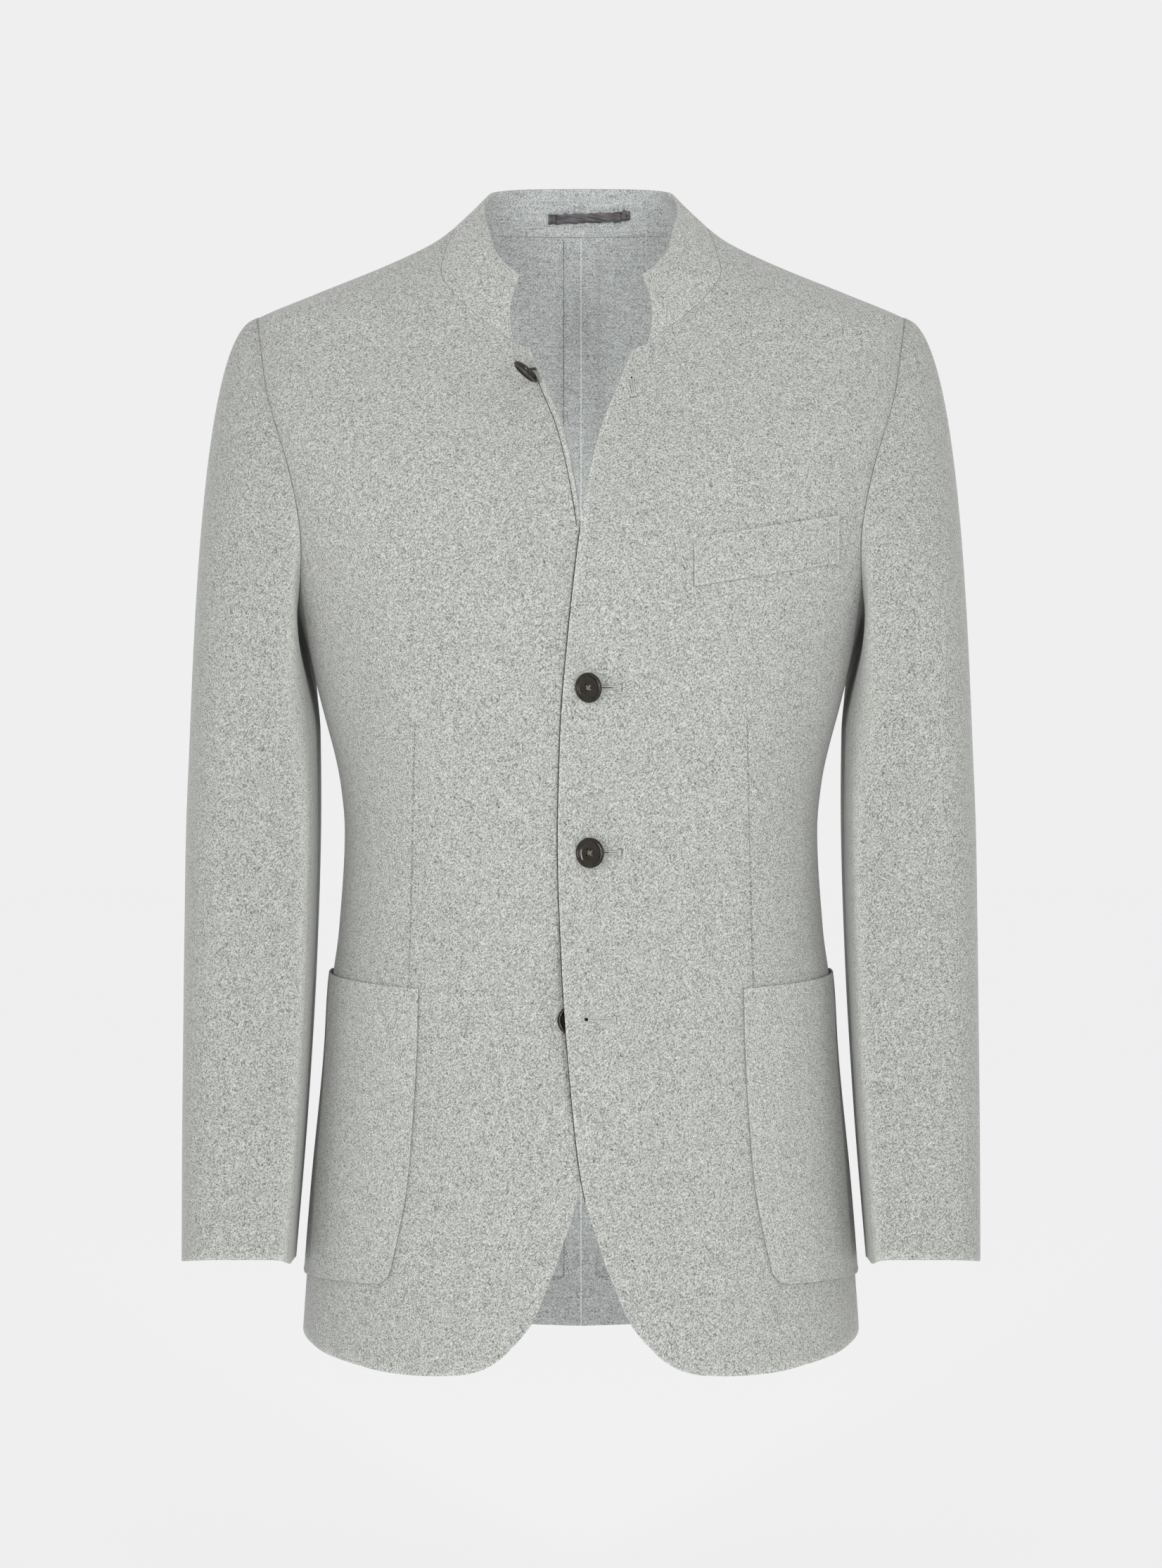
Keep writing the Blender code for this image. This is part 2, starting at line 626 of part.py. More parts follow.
def collar_points():
    """Outer and inner points of the collar, rows upward and columns from right to left."""
    halves = [collar_half(side) for side in (RIGHT, LEFT)]
    joined = [np.concatenate((right[:0:-1], left)) for right, left in zip(*halves)]
    base, top, near_end, seam_inward = joined
    base = base + SEAM_GAP * unit(top - base)
    share = np.linspace(0, 1, COLLAR_ROWS + 1)[:, None, None]
    outer = base * (1 - share) + top * share
    bow = COLLAR_END_BOW * 4 * share[..., 0] * (1 - share[..., 0]) * near_end
    outer[..., 0] += bow * np.sign(outer[..., 0])
    upward = np.gradient(outer, axis=0)
    across = np.gradient(outer, axis=1)
    inward = unit(np.cross(across, upward))
    inward[0] = seam_inward
    return outer, outer + COLLAR_CLOTH * inward, inward


def hanger_loop(inner, inward, material):
    """A ribbon inside the back of the collar, on the collar's own inner points."""
    middle = inner[0, :, 0]
    between = middle[(middle > LOOP_ENDS[0]) & (middle < LOOP_ENDS[1])]
    x = np.concatenate((LOOP_ENDS[:1], between, LOOP_ENDS[1:]))
    share = (x - x[0]) / (x[-1] - x[0])
    slack = SEAM_GAP + LOOP_SLACK * np.sin(np.pi * share) ** 0.5
    rows = []
    for height in LOOP_HEIGHTS:
        row = height * COLLAR_ROWS
        low = int(row)
        line = inner[low] + (inner[low + 1] - inner[low]) * (row - low)
        lean = inward[low] + (inward[low + 1] - inward[low]) * (row - low)
        place = np.interp(x, line[:, 0], np.arange(len(line)))
        cells = np.arange(len(line))
        point = np.stack([np.interp(place, cells, line[:, axis]) for axis in range(3)], axis=-1)
        away = np.stack([np.interp(place, cells, lean[:, axis]) for axis in range(3)], axis=-1)
        rows.append((point + away * slack[:, None], away))
    near = np.stack([point for point, _ in rows])
    away = np.stack([direction for _, direction in rows])
    wall("hanger_loop", near, near + LOOP_CLOTH * away, material)


def patch_pocket(side, material):
    """A patch pocket that narrows to its lower corners, on the front's points moved out."""
    up = np.array(POCKET_ROWS)[:, None]
    across = np.linspace(0, 1, POCKET_COLUMNS + 1)[None]
    mouth = POCKET_MOUTH[0] + (POCKET_MOUTH[1] - POCKET_MOUTH[0]) * across
    level = POCKET_BOTTOM + (mouth - POCKET_BOTTOM) * up
    height = level[:, :1] - POCKET_BOTTOM
    under = np.clip(POCKET_CORNER - height, 0.0, POCKET_CORNER)
    corner = POCKET_CORNER - np.sqrt(POCKET_CORNER**2 - under**2)
    below = POCKET_SLANT_HEIGHT - height
    slant = POCKET_SLANT * (below + np.hypot(below, POCKET_SLANT_SOFT)) / 2
    inset = (corner + slant) / POCKET_TURN_SCALE
    first, last = np.radians(POCKET_TURNS)
    turn = first + inset + across * (last - first - 2 * inset)
    outward = facing(front_face, side, turn, level)
    clear = POCKET_CLEAR + POCKET_GAPE * across * eased(0.75, 1.0, up)
    inner = front_face(side, turn, level) + outward * clear[..., None]
    wall(f"patch_pocket_{SIDE_NAMES[side]}", inner + outward * TRIM_CLOTH, inner, material)


def breast_welt(material):
    """The breast pocket's welt, on the left front's points moved out."""
    across = np.linspace(0, 1, WELT_COLUMNS + 1)[None]
    down = np.linspace(0, 1, WELT_ROWS + 1)[:, None]
    own_x = WELT_ENDS[0] + (WELT_ENDS[1] - WELT_ENDS[0]) * across
    level = WELT_TOP[0] + (WELT_TOP[1] - WELT_TOP[0]) * across - WELT_HEIGHT * down
    turn = turn_at(own_x, level)
    outward = facing(front_face, LEFT, turn, level)
    inner = front_face(LEFT, turn, level) + outward * WELT_CLEAR
    wall("breast_welt", inner + outward * TRIM_CLOTH, inner, material)


def button(row, material):
    """A turned button, seated on its front's face, or hanging from its thread at the rolled edge."""
    turn = turn_at(row.own_x, row.level)
    outward = Vector(facing(front_face, row.side, turn, row.level))
    seat = Vector(front_face(row.side, turn, row.level))
    place = seat + outward * BUTTON_CLEAR
    profile = [ProfileRow(0.0, 0.0)] + BUTTON_PROFILE
    axis = outward
    if row.hang:
        axis = Vector(np.array(row.lean) * (row.side, 1, 1)).normalized()
        place = seat + Vector(np.array(row.hang) * (row.side, 1, 1))
    turn_to = Vector((0, 0, 1)).rotation_difference(axis)
    foot = turn_to.inverted() @ (seat + outward * STEM_CLEAR - place)
    if row.hang:
        ring = (ProfileRow(0.0, foot.z), ProfileRow(STEM_RADIUS, foot.z), ProfileRow(STEM_RADIUS, 0.0))
        profile = list(ring) + BUTTON_PROFILE
    work = bmesh.new()
    verts = [work.verts.new((point.radius, 0.0, point.height)) for point in profile]
    edges = [work.edges.new(pair) for pair in zip(verts[:-1], verts[1:])]
    bmesh.ops.spin(
        work, geom=verts + edges, cent=(0, 0, 0), axis=(0, 0, 1), angle=2 * np.pi, steps=BUTTON_SIDES
    )
    bmesh.ops.remove_doubles(work, verts=work.verts, dist=1e-6)
    sunk = [vert for vert in work.verts if vert.co.z < -1e-6]
    bmesh.ops.translate(work, verts=sunk, vec=(foot.x, foot.y, 0.0))
    mesh = bpy.data.meshes.new(row.name)
    work.to_mesh(mesh)
    work.free()
    piece = finished(row.name, mesh, material)
    piece.location = place
    piece.rotation_mode = "QUATERNION"
    piece.rotation_quaternion = turn_to


def main():
    for leftover in list(bpy.data.objects):
        bpy.data.objects.remove(leftover)
    jacket = bpy.data.objects.new("jacket", None)
    bpy.context.collection.objects.link(jacket)
    front_wool = finish("front_wool", (0.50, 0.51, 0.48), 0.9)
    back_wool = finish("back_wool", (0.46, 0.47, 0.45), 0.9)
    sleeve_wool = finish("sleeve_wool", (0.46, 0.48, 0.44), 0.9)
    collar_wool = finish("collar_wool", (0.45, 0.45, 0.42), 0.9)
    trim_wool = finish("trim_wool", (0.45, 0.46, 0.43), 0.9)
    ribbon = finish("ribbon", (0.06, 0.06, 0.065), 0.6)
    horn = finish("horn", (0.032, 0.027, 0.020), 0.3)
    for side in (LEFT, RIGHT):
        front_panel(side, front_wool)
        back_panel(side, back_wool)
        sleeve_pieces(side, sleeve_wool)
        patch_pocket(side, trim_wool)
    breast_welt(trim_wool)
    outer, inner, inward = collar_points()
    wall("collar", outer, inner, collar_wool)
    hanger_loop(inner, inward, ribbon)
    for row in BUTTONS:
        button(row, horn)


main()
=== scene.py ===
# %% [markdown]
# # A grey flannel jacket with a mandarin collar
#
# A jacket is a set of flat cloth pieces that turn into a body when they are sewn together. The packed
# model holds each piece as a plain solid in its worn shape. This lesson dresses those solids: each gets
# a finer wall of cloth on the same form, the wall gets its wool, and then comes what a sewer adds:
# seams, stitches, buttonholes and buttons.

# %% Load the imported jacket
from collections import namedtuple

import bmesh
import bpy
import numpy as np
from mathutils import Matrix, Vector


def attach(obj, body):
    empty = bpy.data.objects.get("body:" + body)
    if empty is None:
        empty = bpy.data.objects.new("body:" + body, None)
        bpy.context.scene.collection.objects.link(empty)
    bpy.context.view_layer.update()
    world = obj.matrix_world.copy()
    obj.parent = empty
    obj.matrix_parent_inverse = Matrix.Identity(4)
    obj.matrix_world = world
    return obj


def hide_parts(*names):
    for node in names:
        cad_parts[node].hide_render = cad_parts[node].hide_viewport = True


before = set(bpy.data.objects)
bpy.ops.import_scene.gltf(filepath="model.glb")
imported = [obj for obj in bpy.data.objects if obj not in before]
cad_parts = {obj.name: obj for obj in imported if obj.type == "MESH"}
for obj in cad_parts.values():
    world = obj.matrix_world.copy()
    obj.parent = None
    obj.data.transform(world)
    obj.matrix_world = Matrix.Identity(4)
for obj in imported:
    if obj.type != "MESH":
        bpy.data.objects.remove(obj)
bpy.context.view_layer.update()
print("solids in the frame:", len(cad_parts))

# %% [markdown]
# ## Fair curves from short tables
#
# A pattern cutter notes a few measures and draws a fair curve through them. A spline object could do
# that too, but a function can be read at any height, so every piece below can ask the same curve. The
# curve here never swings past its knots, which keeps hips and shoulders free of stray bulges.

# %% Curves and directions
LEFT = 1
RIGHT = -1
SIDE_NAMES = {LEFT: "left", RIGHT: "right"}


def column(rows, name):
    """One named column of a table."""
    return np.array([getattr(row, name) for row in rows], float)


def smooth(knots, values, at):
    """A curve through the knots that never swings past them, read at the places asked for."""
    knots = np.asarray(knots, float)
    values = np.asarray(values, float)
    if knots[0] > knots[-1]:
        knots = knots[::-1]
        values = values[::-1]
    width = np.diff(knots)
    slope = np.diff(values) / width
    product = slope[:-1] * slope[1:]
    total = np.where(product > 0, slope[:-1] + slope[1:], 1.0)
    inside = np.where(product > 0, 2 * product / total, 0.0)
    tangent = np.concatenate((slope[:1], inside, slope[-1:]))
    at = np.clip(at, knots[0], knots[-1])
    cell = np.clip(np.searchsorted(knots, at, side="right") - 1, 0, len(width) - 1)
    share = (at - knots[cell]) / width[cell]
    rest = 1 - share
    from_low = rest**2 * ((1 + 2 * share) * values[cell] + share * width[cell] * tangent[cell])
    from_high = share**2 * ((3 - 2 * share) * values[cell + 1] - rest * width[cell] * tangent[cell + 1])
    return from_low + from_high


def table_curve(rows, name, level):
    """A table's column as a smooth curve over its levels."""
    return smooth(column(rows, "level"), column(rows, name), level)


def eased(low, high, value):
    """0 at low and 1 at high, with a soft start and a soft end."""
    share = np.clip((value - low) / (high - low), 0.0, 1.0)
    return share * share * (3 - 2 * share)


def unit(vectors):
    """The same directions, one long."""
    return vectors / np.linalg.norm(vectors, axis=-1, keepdims=True)


def pairs(turn, level):
    """Turns beside levels, as one array."""
    turn, level = np.broadcast_arrays(np.asarray(turn, float), np.asarray(level, float))
    return np.stack((turn, level), axis=-1)


def finer(stops, steps):
    """The stops, with so many even steps from each one to the next."""
    places = np.linspace(0, len(stops) - 1, (len(stops) - 1) * steps + 1)
    return np.interp(places, np.arange(len(stops)), stops)


FINE = 4
print("each cell of a solid is divided into", FINE * FINE, "finer ones")

# %% [markdown]
# ## The figure that the jacket is cut for
#
# A worn jacket takes its form from its cut, filled by a general figure. The figure could be sculpted,
# but a stack of rounded rings is easier to read and to change: each row gives a ring's half width, its
# depth before and behind the middle, and how square it is. A point is named by its turn (0 at the front
# centre, 90 at the side, 180 at the back centre) and its level, which is its height in metres.

# %% Rings of the figure
FigureRow = namedtuple("FigureRow", "level half_width front_depth back_depth roundness")
FIGURE = [
    FigureRow(0.006, 0.075, 0.011, 0.053, 2.20),
    FigureRow(-0.003, 0.086, 0.018, 0.058, 2.20),
    FigureRow(-0.012, 0.098, 0.026, 0.063, 2.20),
    FigureRow(-0.030, 0.135, 0.042, 0.072, 2.25),
    FigureRow(-0.049, 0.181, 0.0540, 0.080, 2.40),
    FigureRow(-0.064, 0.2166, 0.0612, 0.087, 2.60),
    FigureRow(-0.0655, 0.2192, 0.0620, 0.0877, 2.62),
    FigureRow(-0.088, 0.2215, 0.0738, 0.0975, 2.90),
    FigureRow(-0.118, 0.223, 0.090, 0.109, 3.10),
    FigureRow(-0.173, 0.2165, 0.115, 0.123, 2.90),
    FigureRow(-0.228, 0.204, 0.129, 0.130, 2.65),
    FigureRow(-0.272, 0.190, 0.134, 0.131, 2.50),
    FigureRow(-0.324, 0.1765, 0.134, 0.126, 2.60),
    FigureRow(-0.383, 0.1625, 0.129, 0.115, 2.65),
    FigureRow(-0.412, 0.160, 0.127, 0.112, 2.65),
    FigureRow(-0.479, 0.164, 0.127, 0.113, 2.45),
    FigureRow(-0.517, 0.169, 0.129, 0.119, 2.35),
    FigureRow(-0.575, 0.1735, 0.133, 0.127, 2.30),
    FigureRow(-0.651, 0.181, 0.137, 0.134, 2.30),
    FigureRow(-0.728, 0.187, 0.140, 0.137, 2.30),
    FigureRow(-0.790, 0.191, 0.142, 0.140, 2.30),
]


def figure(turn, level):
    """Point of the figure, on its own side, at a turn and a level."""
    turn, level = np.broadcast_arrays(np.asarray(turn, float), np.asarray(level, float))
    power = 2 / table_curve(FIGURE, "roundness", level)
    sine = np.sin(turn)
    cosine = np.cos(turn)
    front = table_curve(FIGURE, "front_depth", level)
    back = table_curve(FIGURE, "back_depth", level)
    x = table_curve(FIGURE, "half_width", level) * np.sign(sine) * np.abs(sine) ** power
    y = -np.where(cosine > 0, front, back) * np.sign(cosine) * np.abs(cosine) ** power
    return np.stack((x, y, level), axis=-1)


def turn_at(own_x, level):
    """Turn of the front's point that lies so far out from the centre."""
    share = np.clip(np.abs(own_x) / table_curve(FIGURE, "half_width", level), 0.0, 1.0)
    return np.sign(own_x) * np.arcsin(share ** (table_curve(FIGURE, "roundness", level) / 2))


def figure_half_width(y, level):
    """How far out the figure lies at a depth and a level, and 0 where it isn't there."""
    power = table_curve(FIGURE, "roundness", level)
    front = table_curve(FIGURE, "front_depth", level)
    depth = np.where(y < 0, front, table_curve(FIGURE, "back_depth", level))
    share = np.clip(np.abs(y) / depth, 0.0, 1.0)
    return table_curve(FIGURE, "half_width", level) * (1 - share**power) ** (1 / power)


def facing(face, side, turn, level):
    """Outward direction of a panel's face."""
    turn_step = 0.004
    level_step = 0.001
    across = face(side, turn + turn_step, level) - face(side, turn - turn_step, level)
    upward = face(side, turn, level + level_step) - face(side, turn, level - level_step)
    return unit(np.cross(across, upward) * side)


print("waist of the figure:", round(min(column(FIGURE[10:], "half_width")) * 2, 3), "m wide")

# %% [markdown]
# ## Shader sums written as Python
#
# A shader is a sum over the surface, and Blender writes sums as nodes. Placing and wiring dozens of
# Math nodes hides the idea, so this small class wraps a socket and turns +, -, * and ** into nodes.
# Colours pass through a Mix node, because a Math node would turn a colour grey.

# %% A socket that can be used in sums
class Signal:
    """A node's output that can be written in sums as a number can."""

    def __init__(self, tree, output=None):
        self.tree = tree
        self.output = output

    def node(self, kind, settings=(), inputs=(), output=0):
        """Any node: its type, its settings, then the values or links of its sockets."""
        made = self.tree.nodes.new(kind)
        for name, setting in dict(settings).items():
            setattr(made, name, setting)
        for name, given in dict(inputs).items():
            self.feed(made.inputs[name], given)
        return Signal(self.tree, made.outputs[output])

    def feed(self, target, given):
        """A signal is linked to a socket, and a plain value is set on it."""
        if isinstance(given, Signal):
            self.tree.links.new(given.output, target)
        else:
            target.default_value = given

    def maths(self, operation, first, second=0.0):
        """One Math node."""
        return self.node("ShaderNodeMath", {"operation": operation}, {0: first, 1: second})

    def __add__(self, other):
        return self.maths("ADD", self, other)

    def __sub__(self, other):
        return self.maths("SUBTRACT", self, other)

    def __rsub__(self, other):
        return self.maths("SUBTRACT", other, self)

    def __mul__(self, other):
        return self.maths("MULTIPLY", self, other)

    def __pow__(self, power):
        return self.maths("POWER", self, power)

    __radd__ = __add__
    __rmul__ = __mul__

    def size(self):
        """The value without its sign."""
        return self.maths("ABSOLUTE", self)

    def axis(self, name):
        """The X, Y or Z of a vector."""
        return self.node("ShaderNodeSeparateXYZ", (), {"Vector": self}, output=name)

    def rise(self, low, high):
        """0 below low and 1 above high, with a soft slope between."""
        stops = {"Value": self, "From Min": low, "From Max": high}
        return self.node("ShaderNodeMapRange", {"interpolation_type": "SMOOTHSTEP"}, stops)

    def mix(self, dark, light):
        """A colour between two others, by this value."""
        colours = {0: self, 6: (*dark, 1.0), 7: (*light, 1.0)}
        return self.node("ShaderNodeMix", {"data_type": "RGBA"}, colours, output=2)


def blank(name, **constants):
    """A new Principled material: itself, a signal to start sums from, and the shader's sockets."""
    material = bpy.data.materials.new(name)
    material.use_nodes = True
    shader = material.node_tree.nodes["Principled BSDF"]
    for socket, value in constants.items():
        shader.inputs[socket.replace("_", " ").title().replace("Ior", "IOR")].default_value = value
    return material, Signal(material.node_tree), shader.inputs


def flecks(place, size, lean, detail=0.0):
    """Soft noise in flecks of one size in metres, leaning sideways by so many degrees."""
    stretch = {"Vector": place, "Rotation": (0.0, np.radians(lean), 0.0), "Scale": size}
    turned = place.node("ShaderNodeMapping", {"vector_type": "TEXTURE"}, stretch)
    return place.node("ShaderNodeTexNoise", (), {"Vector": turned, "Scale": 1.0, "Detail": detail})


def in_object(start):
    """Where the shaded point lies, in metres, in the jacket's own frame."""
    return start.node("ShaderNodeTexCoord", output="Object")


print("shader sums are ready")

# %% [markdown]
# ## Melange wool
#
# The yarn is spun from white and dark grey fibres that were mixed before spinning, so the cloth is
# salt and pepper: short flecks, 1 to 2 mm long, leaning with the twill. A photograph of cloth would
# repeat and blur, so the flecks are noise: one set follows the warp, one the weft, and a few dark
# fibres lie on top. The same noise drives a fine bump, because light fibres also stand proud. The wrong
# side is cooler and combed crosswise. A value named rim, stored on the mesh, marks folded edges, and
# the wool paints a highlight there for the light that fibre ends catch. The darts are a pressed line
# down each front: a dent in the bump, with painted shade along it. The sleeves get painted light where
# they face the body. They are made paler there, for the light that pale cloth close by throws back at
# them. The fronts, the sleeves and backs, and the pockets and collar take one wool at three
# brightnesses, painted lighter or darker by how much light falls on each.

# %% Wool, right side and wrong side
Shades = namedtuple("Shades", "dark light")
# One wool at three brightnesses: the plain shades are painted shade for the sleeves and backs, and the
# trim shades are painted light for the pockets and collar.
FRONT_SHADES = Shades((0.090, 0.093, 0.086), (0.590, 0.602, 0.571))
SHADED_COPY_SHADES = Shades((0.088, 0.091, 0.084), (0.555, 0.568, 0.534))
LIT_COPY_SHADES = Shades((0.097, 0.100, 0.093), (0.622, 0.635, 0.603))
BACK_SHADES = Shades((0.120, 0.126, 0.124), (0.640, 0.664, 0.652))
WARP_SIZE = (0.00056, 0.00056, 0.00145)
WARP_LEAN = 30
WEFT_SIZE = (0.00120, 0.00120, 0.00058)
WEFT_LEAN = -26
FIBRE_SIZE = (0.0008, 0.0008, 0.0030)
FIBRE_LEAN = -35
CLOUD_SIZE = (0.0040, 0.0040, 0.0050)
COMB_SIZE = (0.014, 0.014, 0.0010)
FLECK_STOPS = (0.32, 0.68)
FIBRE_STOPS = (0.64, 0.76)
WARP_TONE = 0.37
WEFT_TONE = 0.34
FIBRE_TONE = 0.24
CLOUD_TONE = 0.15
WOOL_ROUGH = 0.88
WARP_ROUGH = 0.20
WOOL_RELIEF = {"Strength": 0.35, "Distance": 0.0003}
DART_RELIEF = 1.5
DART_OUT = 0.1115
DART_LEAN = -0.025
DART_MIDDLE = -0.430
DART_HALF_LENGTH = 0.100
DART_WIDTH = 0.0011
DART_FADE_FROM = 0.080
DART_DEPTHS = (-0.03, 0.0)


def dart_line(place):
    """1 along the darts' pressed lines on either front, where the wool paints shade, and 0 elsewhere."""
    height = place.axis("Z") - DART_MIDDLE
    away = (place.axis("X").size() - DART_OUT - DART_LEAN * height).size()
    along = 1 - height.size().rise(DART_FADE_FROM, DART_HALF_LENGTH)
    in_front = 1 - place.axis("Y").rise(*DART_DEPTHS)
    return (1 - away.rise(0.0, DART_WIDTH)) * along * in_front


def wool(name, shades, grain=1.0, comb=0.0, dart_shade=0.0, rim_highlight=0.14, painted_inner_light=0.0):
    """Melange flannel; comb streaks it, and the last three amounts dent the darts and paint shade down
    them, paint a highlight on folded edges and paint light on what faces in.
    """
    material, start, sockets = blank(name, sheen_weight=0.25, sheen_roughness=0.5, specular_ior_level=0.2)
    place = in_object(start)
    warp = flecks(place, WARP_SIZE, WARP_LEAN).rise(*FLECK_STOPS) - 0.5
    weft = flecks(place, WEFT_SIZE, WEFT_LEAN).rise(*FLECK_STOPS) - 0.5
    fibre = flecks(place, FIBRE_SIZE, FIBRE_LEAN).rise(*FIBRE_STOPS)
    cloud = flecks(place, CLOUD_SIZE, 0) - 0.5
    rim = start.node("ShaderNodeAttribute", {"attribute_name": "rim"}, output="Fac")
    weave = WARP_TONE * warp + WEFT_TONE * weft - FIBRE_TONE * fibre
    # The rim term is a painted highlight on folded edges.
    tone = 0.5 + grain * weave + CLOUD_TONE * cloud + rim_highlight * rim**2
    height = warp + weft
    # Painted light: cloth that faces the body is made paler, for the light thrown back by pale cloth close
    # by.
    if painted_inner_light:
        outward = start.node("ShaderNodeTexCoord", output="Normal")
        own_side = start.maths("SIGN", place.axis("X"))
        to_body = 0 - outward.axis("X") * own_side
        tone = tone + painted_inner_light * to_body.rise(0.0, 1.0)
    if comb:
        tone = tone + comb * (flecks(place, COMB_SIZE, 0) - 0.5)
    # Painted shade down the darts, beside a real dent in the bump.
    if dart_shade:
        line = dart_line(place)
        tone = tone - dart_shade * line
        height = height - DART_RELIEF * line
    relief = {**WOOL_RELIEF, "Height": height}
    start.feed(sockets["Base Color"], tone.mix(*shades))
    start.feed(sockets["Roughness"], WOOL_ROUGH + WARP_ROUGH * warp)
    start.feed(sockets["Normal"], start.node("ShaderNodeBump", (), relief, "Normal"))
    return material


# The fronts, the sleeves and backs, and the pockets and collar get one wool painted at three brightnesses,
# by how much light falls on each.
front_wool = wool("front_wool", FRONT_SHADES, dart_shade=0.20)
shaded_copy_wool = wool("shaded_copy_wool", SHADED_COPY_SHADES, painted_inner_light=0.30)
trim_wool = wool("trim_wool", LIT_COPY_SHADES, rim_highlight=0.03)
wrong_side = wool("wrong_side", BACK_SHADES, grain=0.85, comb=0.22)
print("wools:", front_wool.name, shaded_copy_wool.name, trim_wool.name, wrong_side.name)

# %% [markdown]
# ## Ribbon, thread and horn
#
# The hanger loop is a dark satin ribbon, so fine ribs run along it and its roughness is lower. Sewing
# thread is twisted, which at this size is only a quick change from dark to light along it. The darkest
# thread is mostly painted shadow, laid in rows where edges and purls cast shade; its streaks are longer,
# so each row fades in and out. The buttons are polished dark brown horn, whose soft streaks hardly show
# under the gloss.

# %% Ribbon, thread and horn
RIBBON_SIZE = (0.0090, 0.0090, 0.0012)
RIBBON_SHADES = Shades((0.014, 0.013, 0.015), (0.105, 0.098, 0.107))
HORN_SIZE = (0.0060, 0.0060, 0.0016)
HORN_SHADES = Shades((0.008, 0.0055, 0.003), (0.020, 0.015, 0.009))
THREAD_SIZE = (0.0006, 0.0006, 0.0006)
THREAD_BUMP = 0.0002
SHADOW_THREAD_SIZE = (0.0030, 0.0030, 0.0022)
STREAK_STOPS = (0.3, 0.7)
STREAK_STRENGTH = 0.3


def streaked(name, shades, size, lean, bump, **constants):
    """A finish of streaks between two shades, with a low bump along them."""
    material, start, sockets = blank(name, **constants)
    streak = flecks(in_object(start), size, lean, detail=2.0)
    relief = {"Strength": STREAK_STRENGTH, "Distance": bump, "Height": streak}
    start.feed(sockets["Base Color"], streak.rise(*STREAK_STOPS).mix(*shades))
    start.feed(sockets["Normal"], start.node("ShaderNodeBump", (), relief, "Normal"))
    return material


def thread(name, dark, light, roughness, size=THREAD_SIZE):
    """Twisted sewing thread between two shades."""
    return streaked(name, Shades(dark, light), size, 0, THREAD_BUMP, roughness=roughness)


ribbon = streaked("ribbon", RIBBON_SHADES, RIBBON_SIZE, 8, 0.0003, roughness=0.5)
horn = streaked("horn", HORN_SHADES, HORN_SIZE, 30, 0.0001, roughness=0.13, specular_ior_level=0.34)
wool_thread = thread("wool_thread", (0.30, 0.305, 0.285), (0.58, 0.59, 0.56), 0.9)
grey_thread = thread("grey_thread", (0.30, 0.305, 0.285), (0.52, 0.53, 0.50), 0.8)
pale_thread = thread("pale_thread", (0.60, 0.61, 0.60), (0.90, 0.91, 0.90), 0.8)
# Dark thread: real on the button stems and the hanger loop, and painted shade where it lies in an open
# buttonhole slit.
dark_thread_and_slit_shade = thread("dark_thread_and_slit_shade", (0.020, 0.019, 0.018), (0.060, 0.058, 0.055), 0.8)
brown_thread = thread("brown_thread", (0.020, 0.017, 0.013), (0.240, 0.220, 0.185), 0.6)
collar_thread = thread("collar_thread", (0.48, 0.50, 0.495), (0.66, 0.68, 0.67), 0.9)
# The darkest thread is mostly painted shadow: rows of it lie where edges and purls cast shade. It also
# overcasts the turned-up hem.
shadow_and_overcast_thread = thread("shadow_and_overcast_thread", (0.018, 0.018, 0.016), (0.130, 0.131, 0.124), 0.9, SHADOW_THREAD_SIZE)
print("trims:", ribbon.name, horn.name, "and seven threads")

# %% [markdown]
# ## A wall of cloth
#
# Cloth has two sides and a thickness, and its edges are soft. A plane with a Solidify modifier would
# give that too, but here the two sides are made from points, so that the inside can show turned-in
# seams that the outside doesn't have. A Bevel modifier rounds the edges. Each piece also says which
# plain solid it stands for, and how large the cloth was before it was sewn.

# %% Cloth walls
EDGE_ROUND = 0.0006
EDGE_ANGLE = np.radians(50)
FOLDED = {"first_row": 0, "last_row": 1, "first_column": 2, "last_column": 3}


def finished(name, points, faces, finishes):
    """A piece of the jacket made from points and faces, with its faces turned out."""
    mesh = bpy.data.meshes.new(name)
    mesh.from_pydata(points.tolist(), [], [list(face) for face in faces])
    work = bmesh.new()
    work.from_mesh(mesh)
    bmesh.ops.recalc_face_normals(work, faces=work.faces)
    work.to_mesh(mesh)
    work.free()
    mesh.shade_smooth()
    for finish in finishes:
        mesh.materials.append(finish)
    piece = bpy.data.objects.new(name, mesh)
    bpy.context.collection.objects.link(piece)
    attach(piece, "root")
    return piece


def flat_cut(grid):
    """Longest row, longest column and area of a grid of points laid flat."""
    along = np.linalg.norm(np.diff(grid, axis=1), axis=-1).sum(axis=1).max()
    upward = np.linalg.norm(np.diff(grid, axis=0), axis=-1).sum(axis=0).max()
    first = np.cross(grid[1:, 1:] - grid[:-1, :-1], grid[1:, :-1] - grid[:-1, 1:])
    return float(along), float(upward), float(np.linalg.norm(first, axis=-1).sum() / 2)


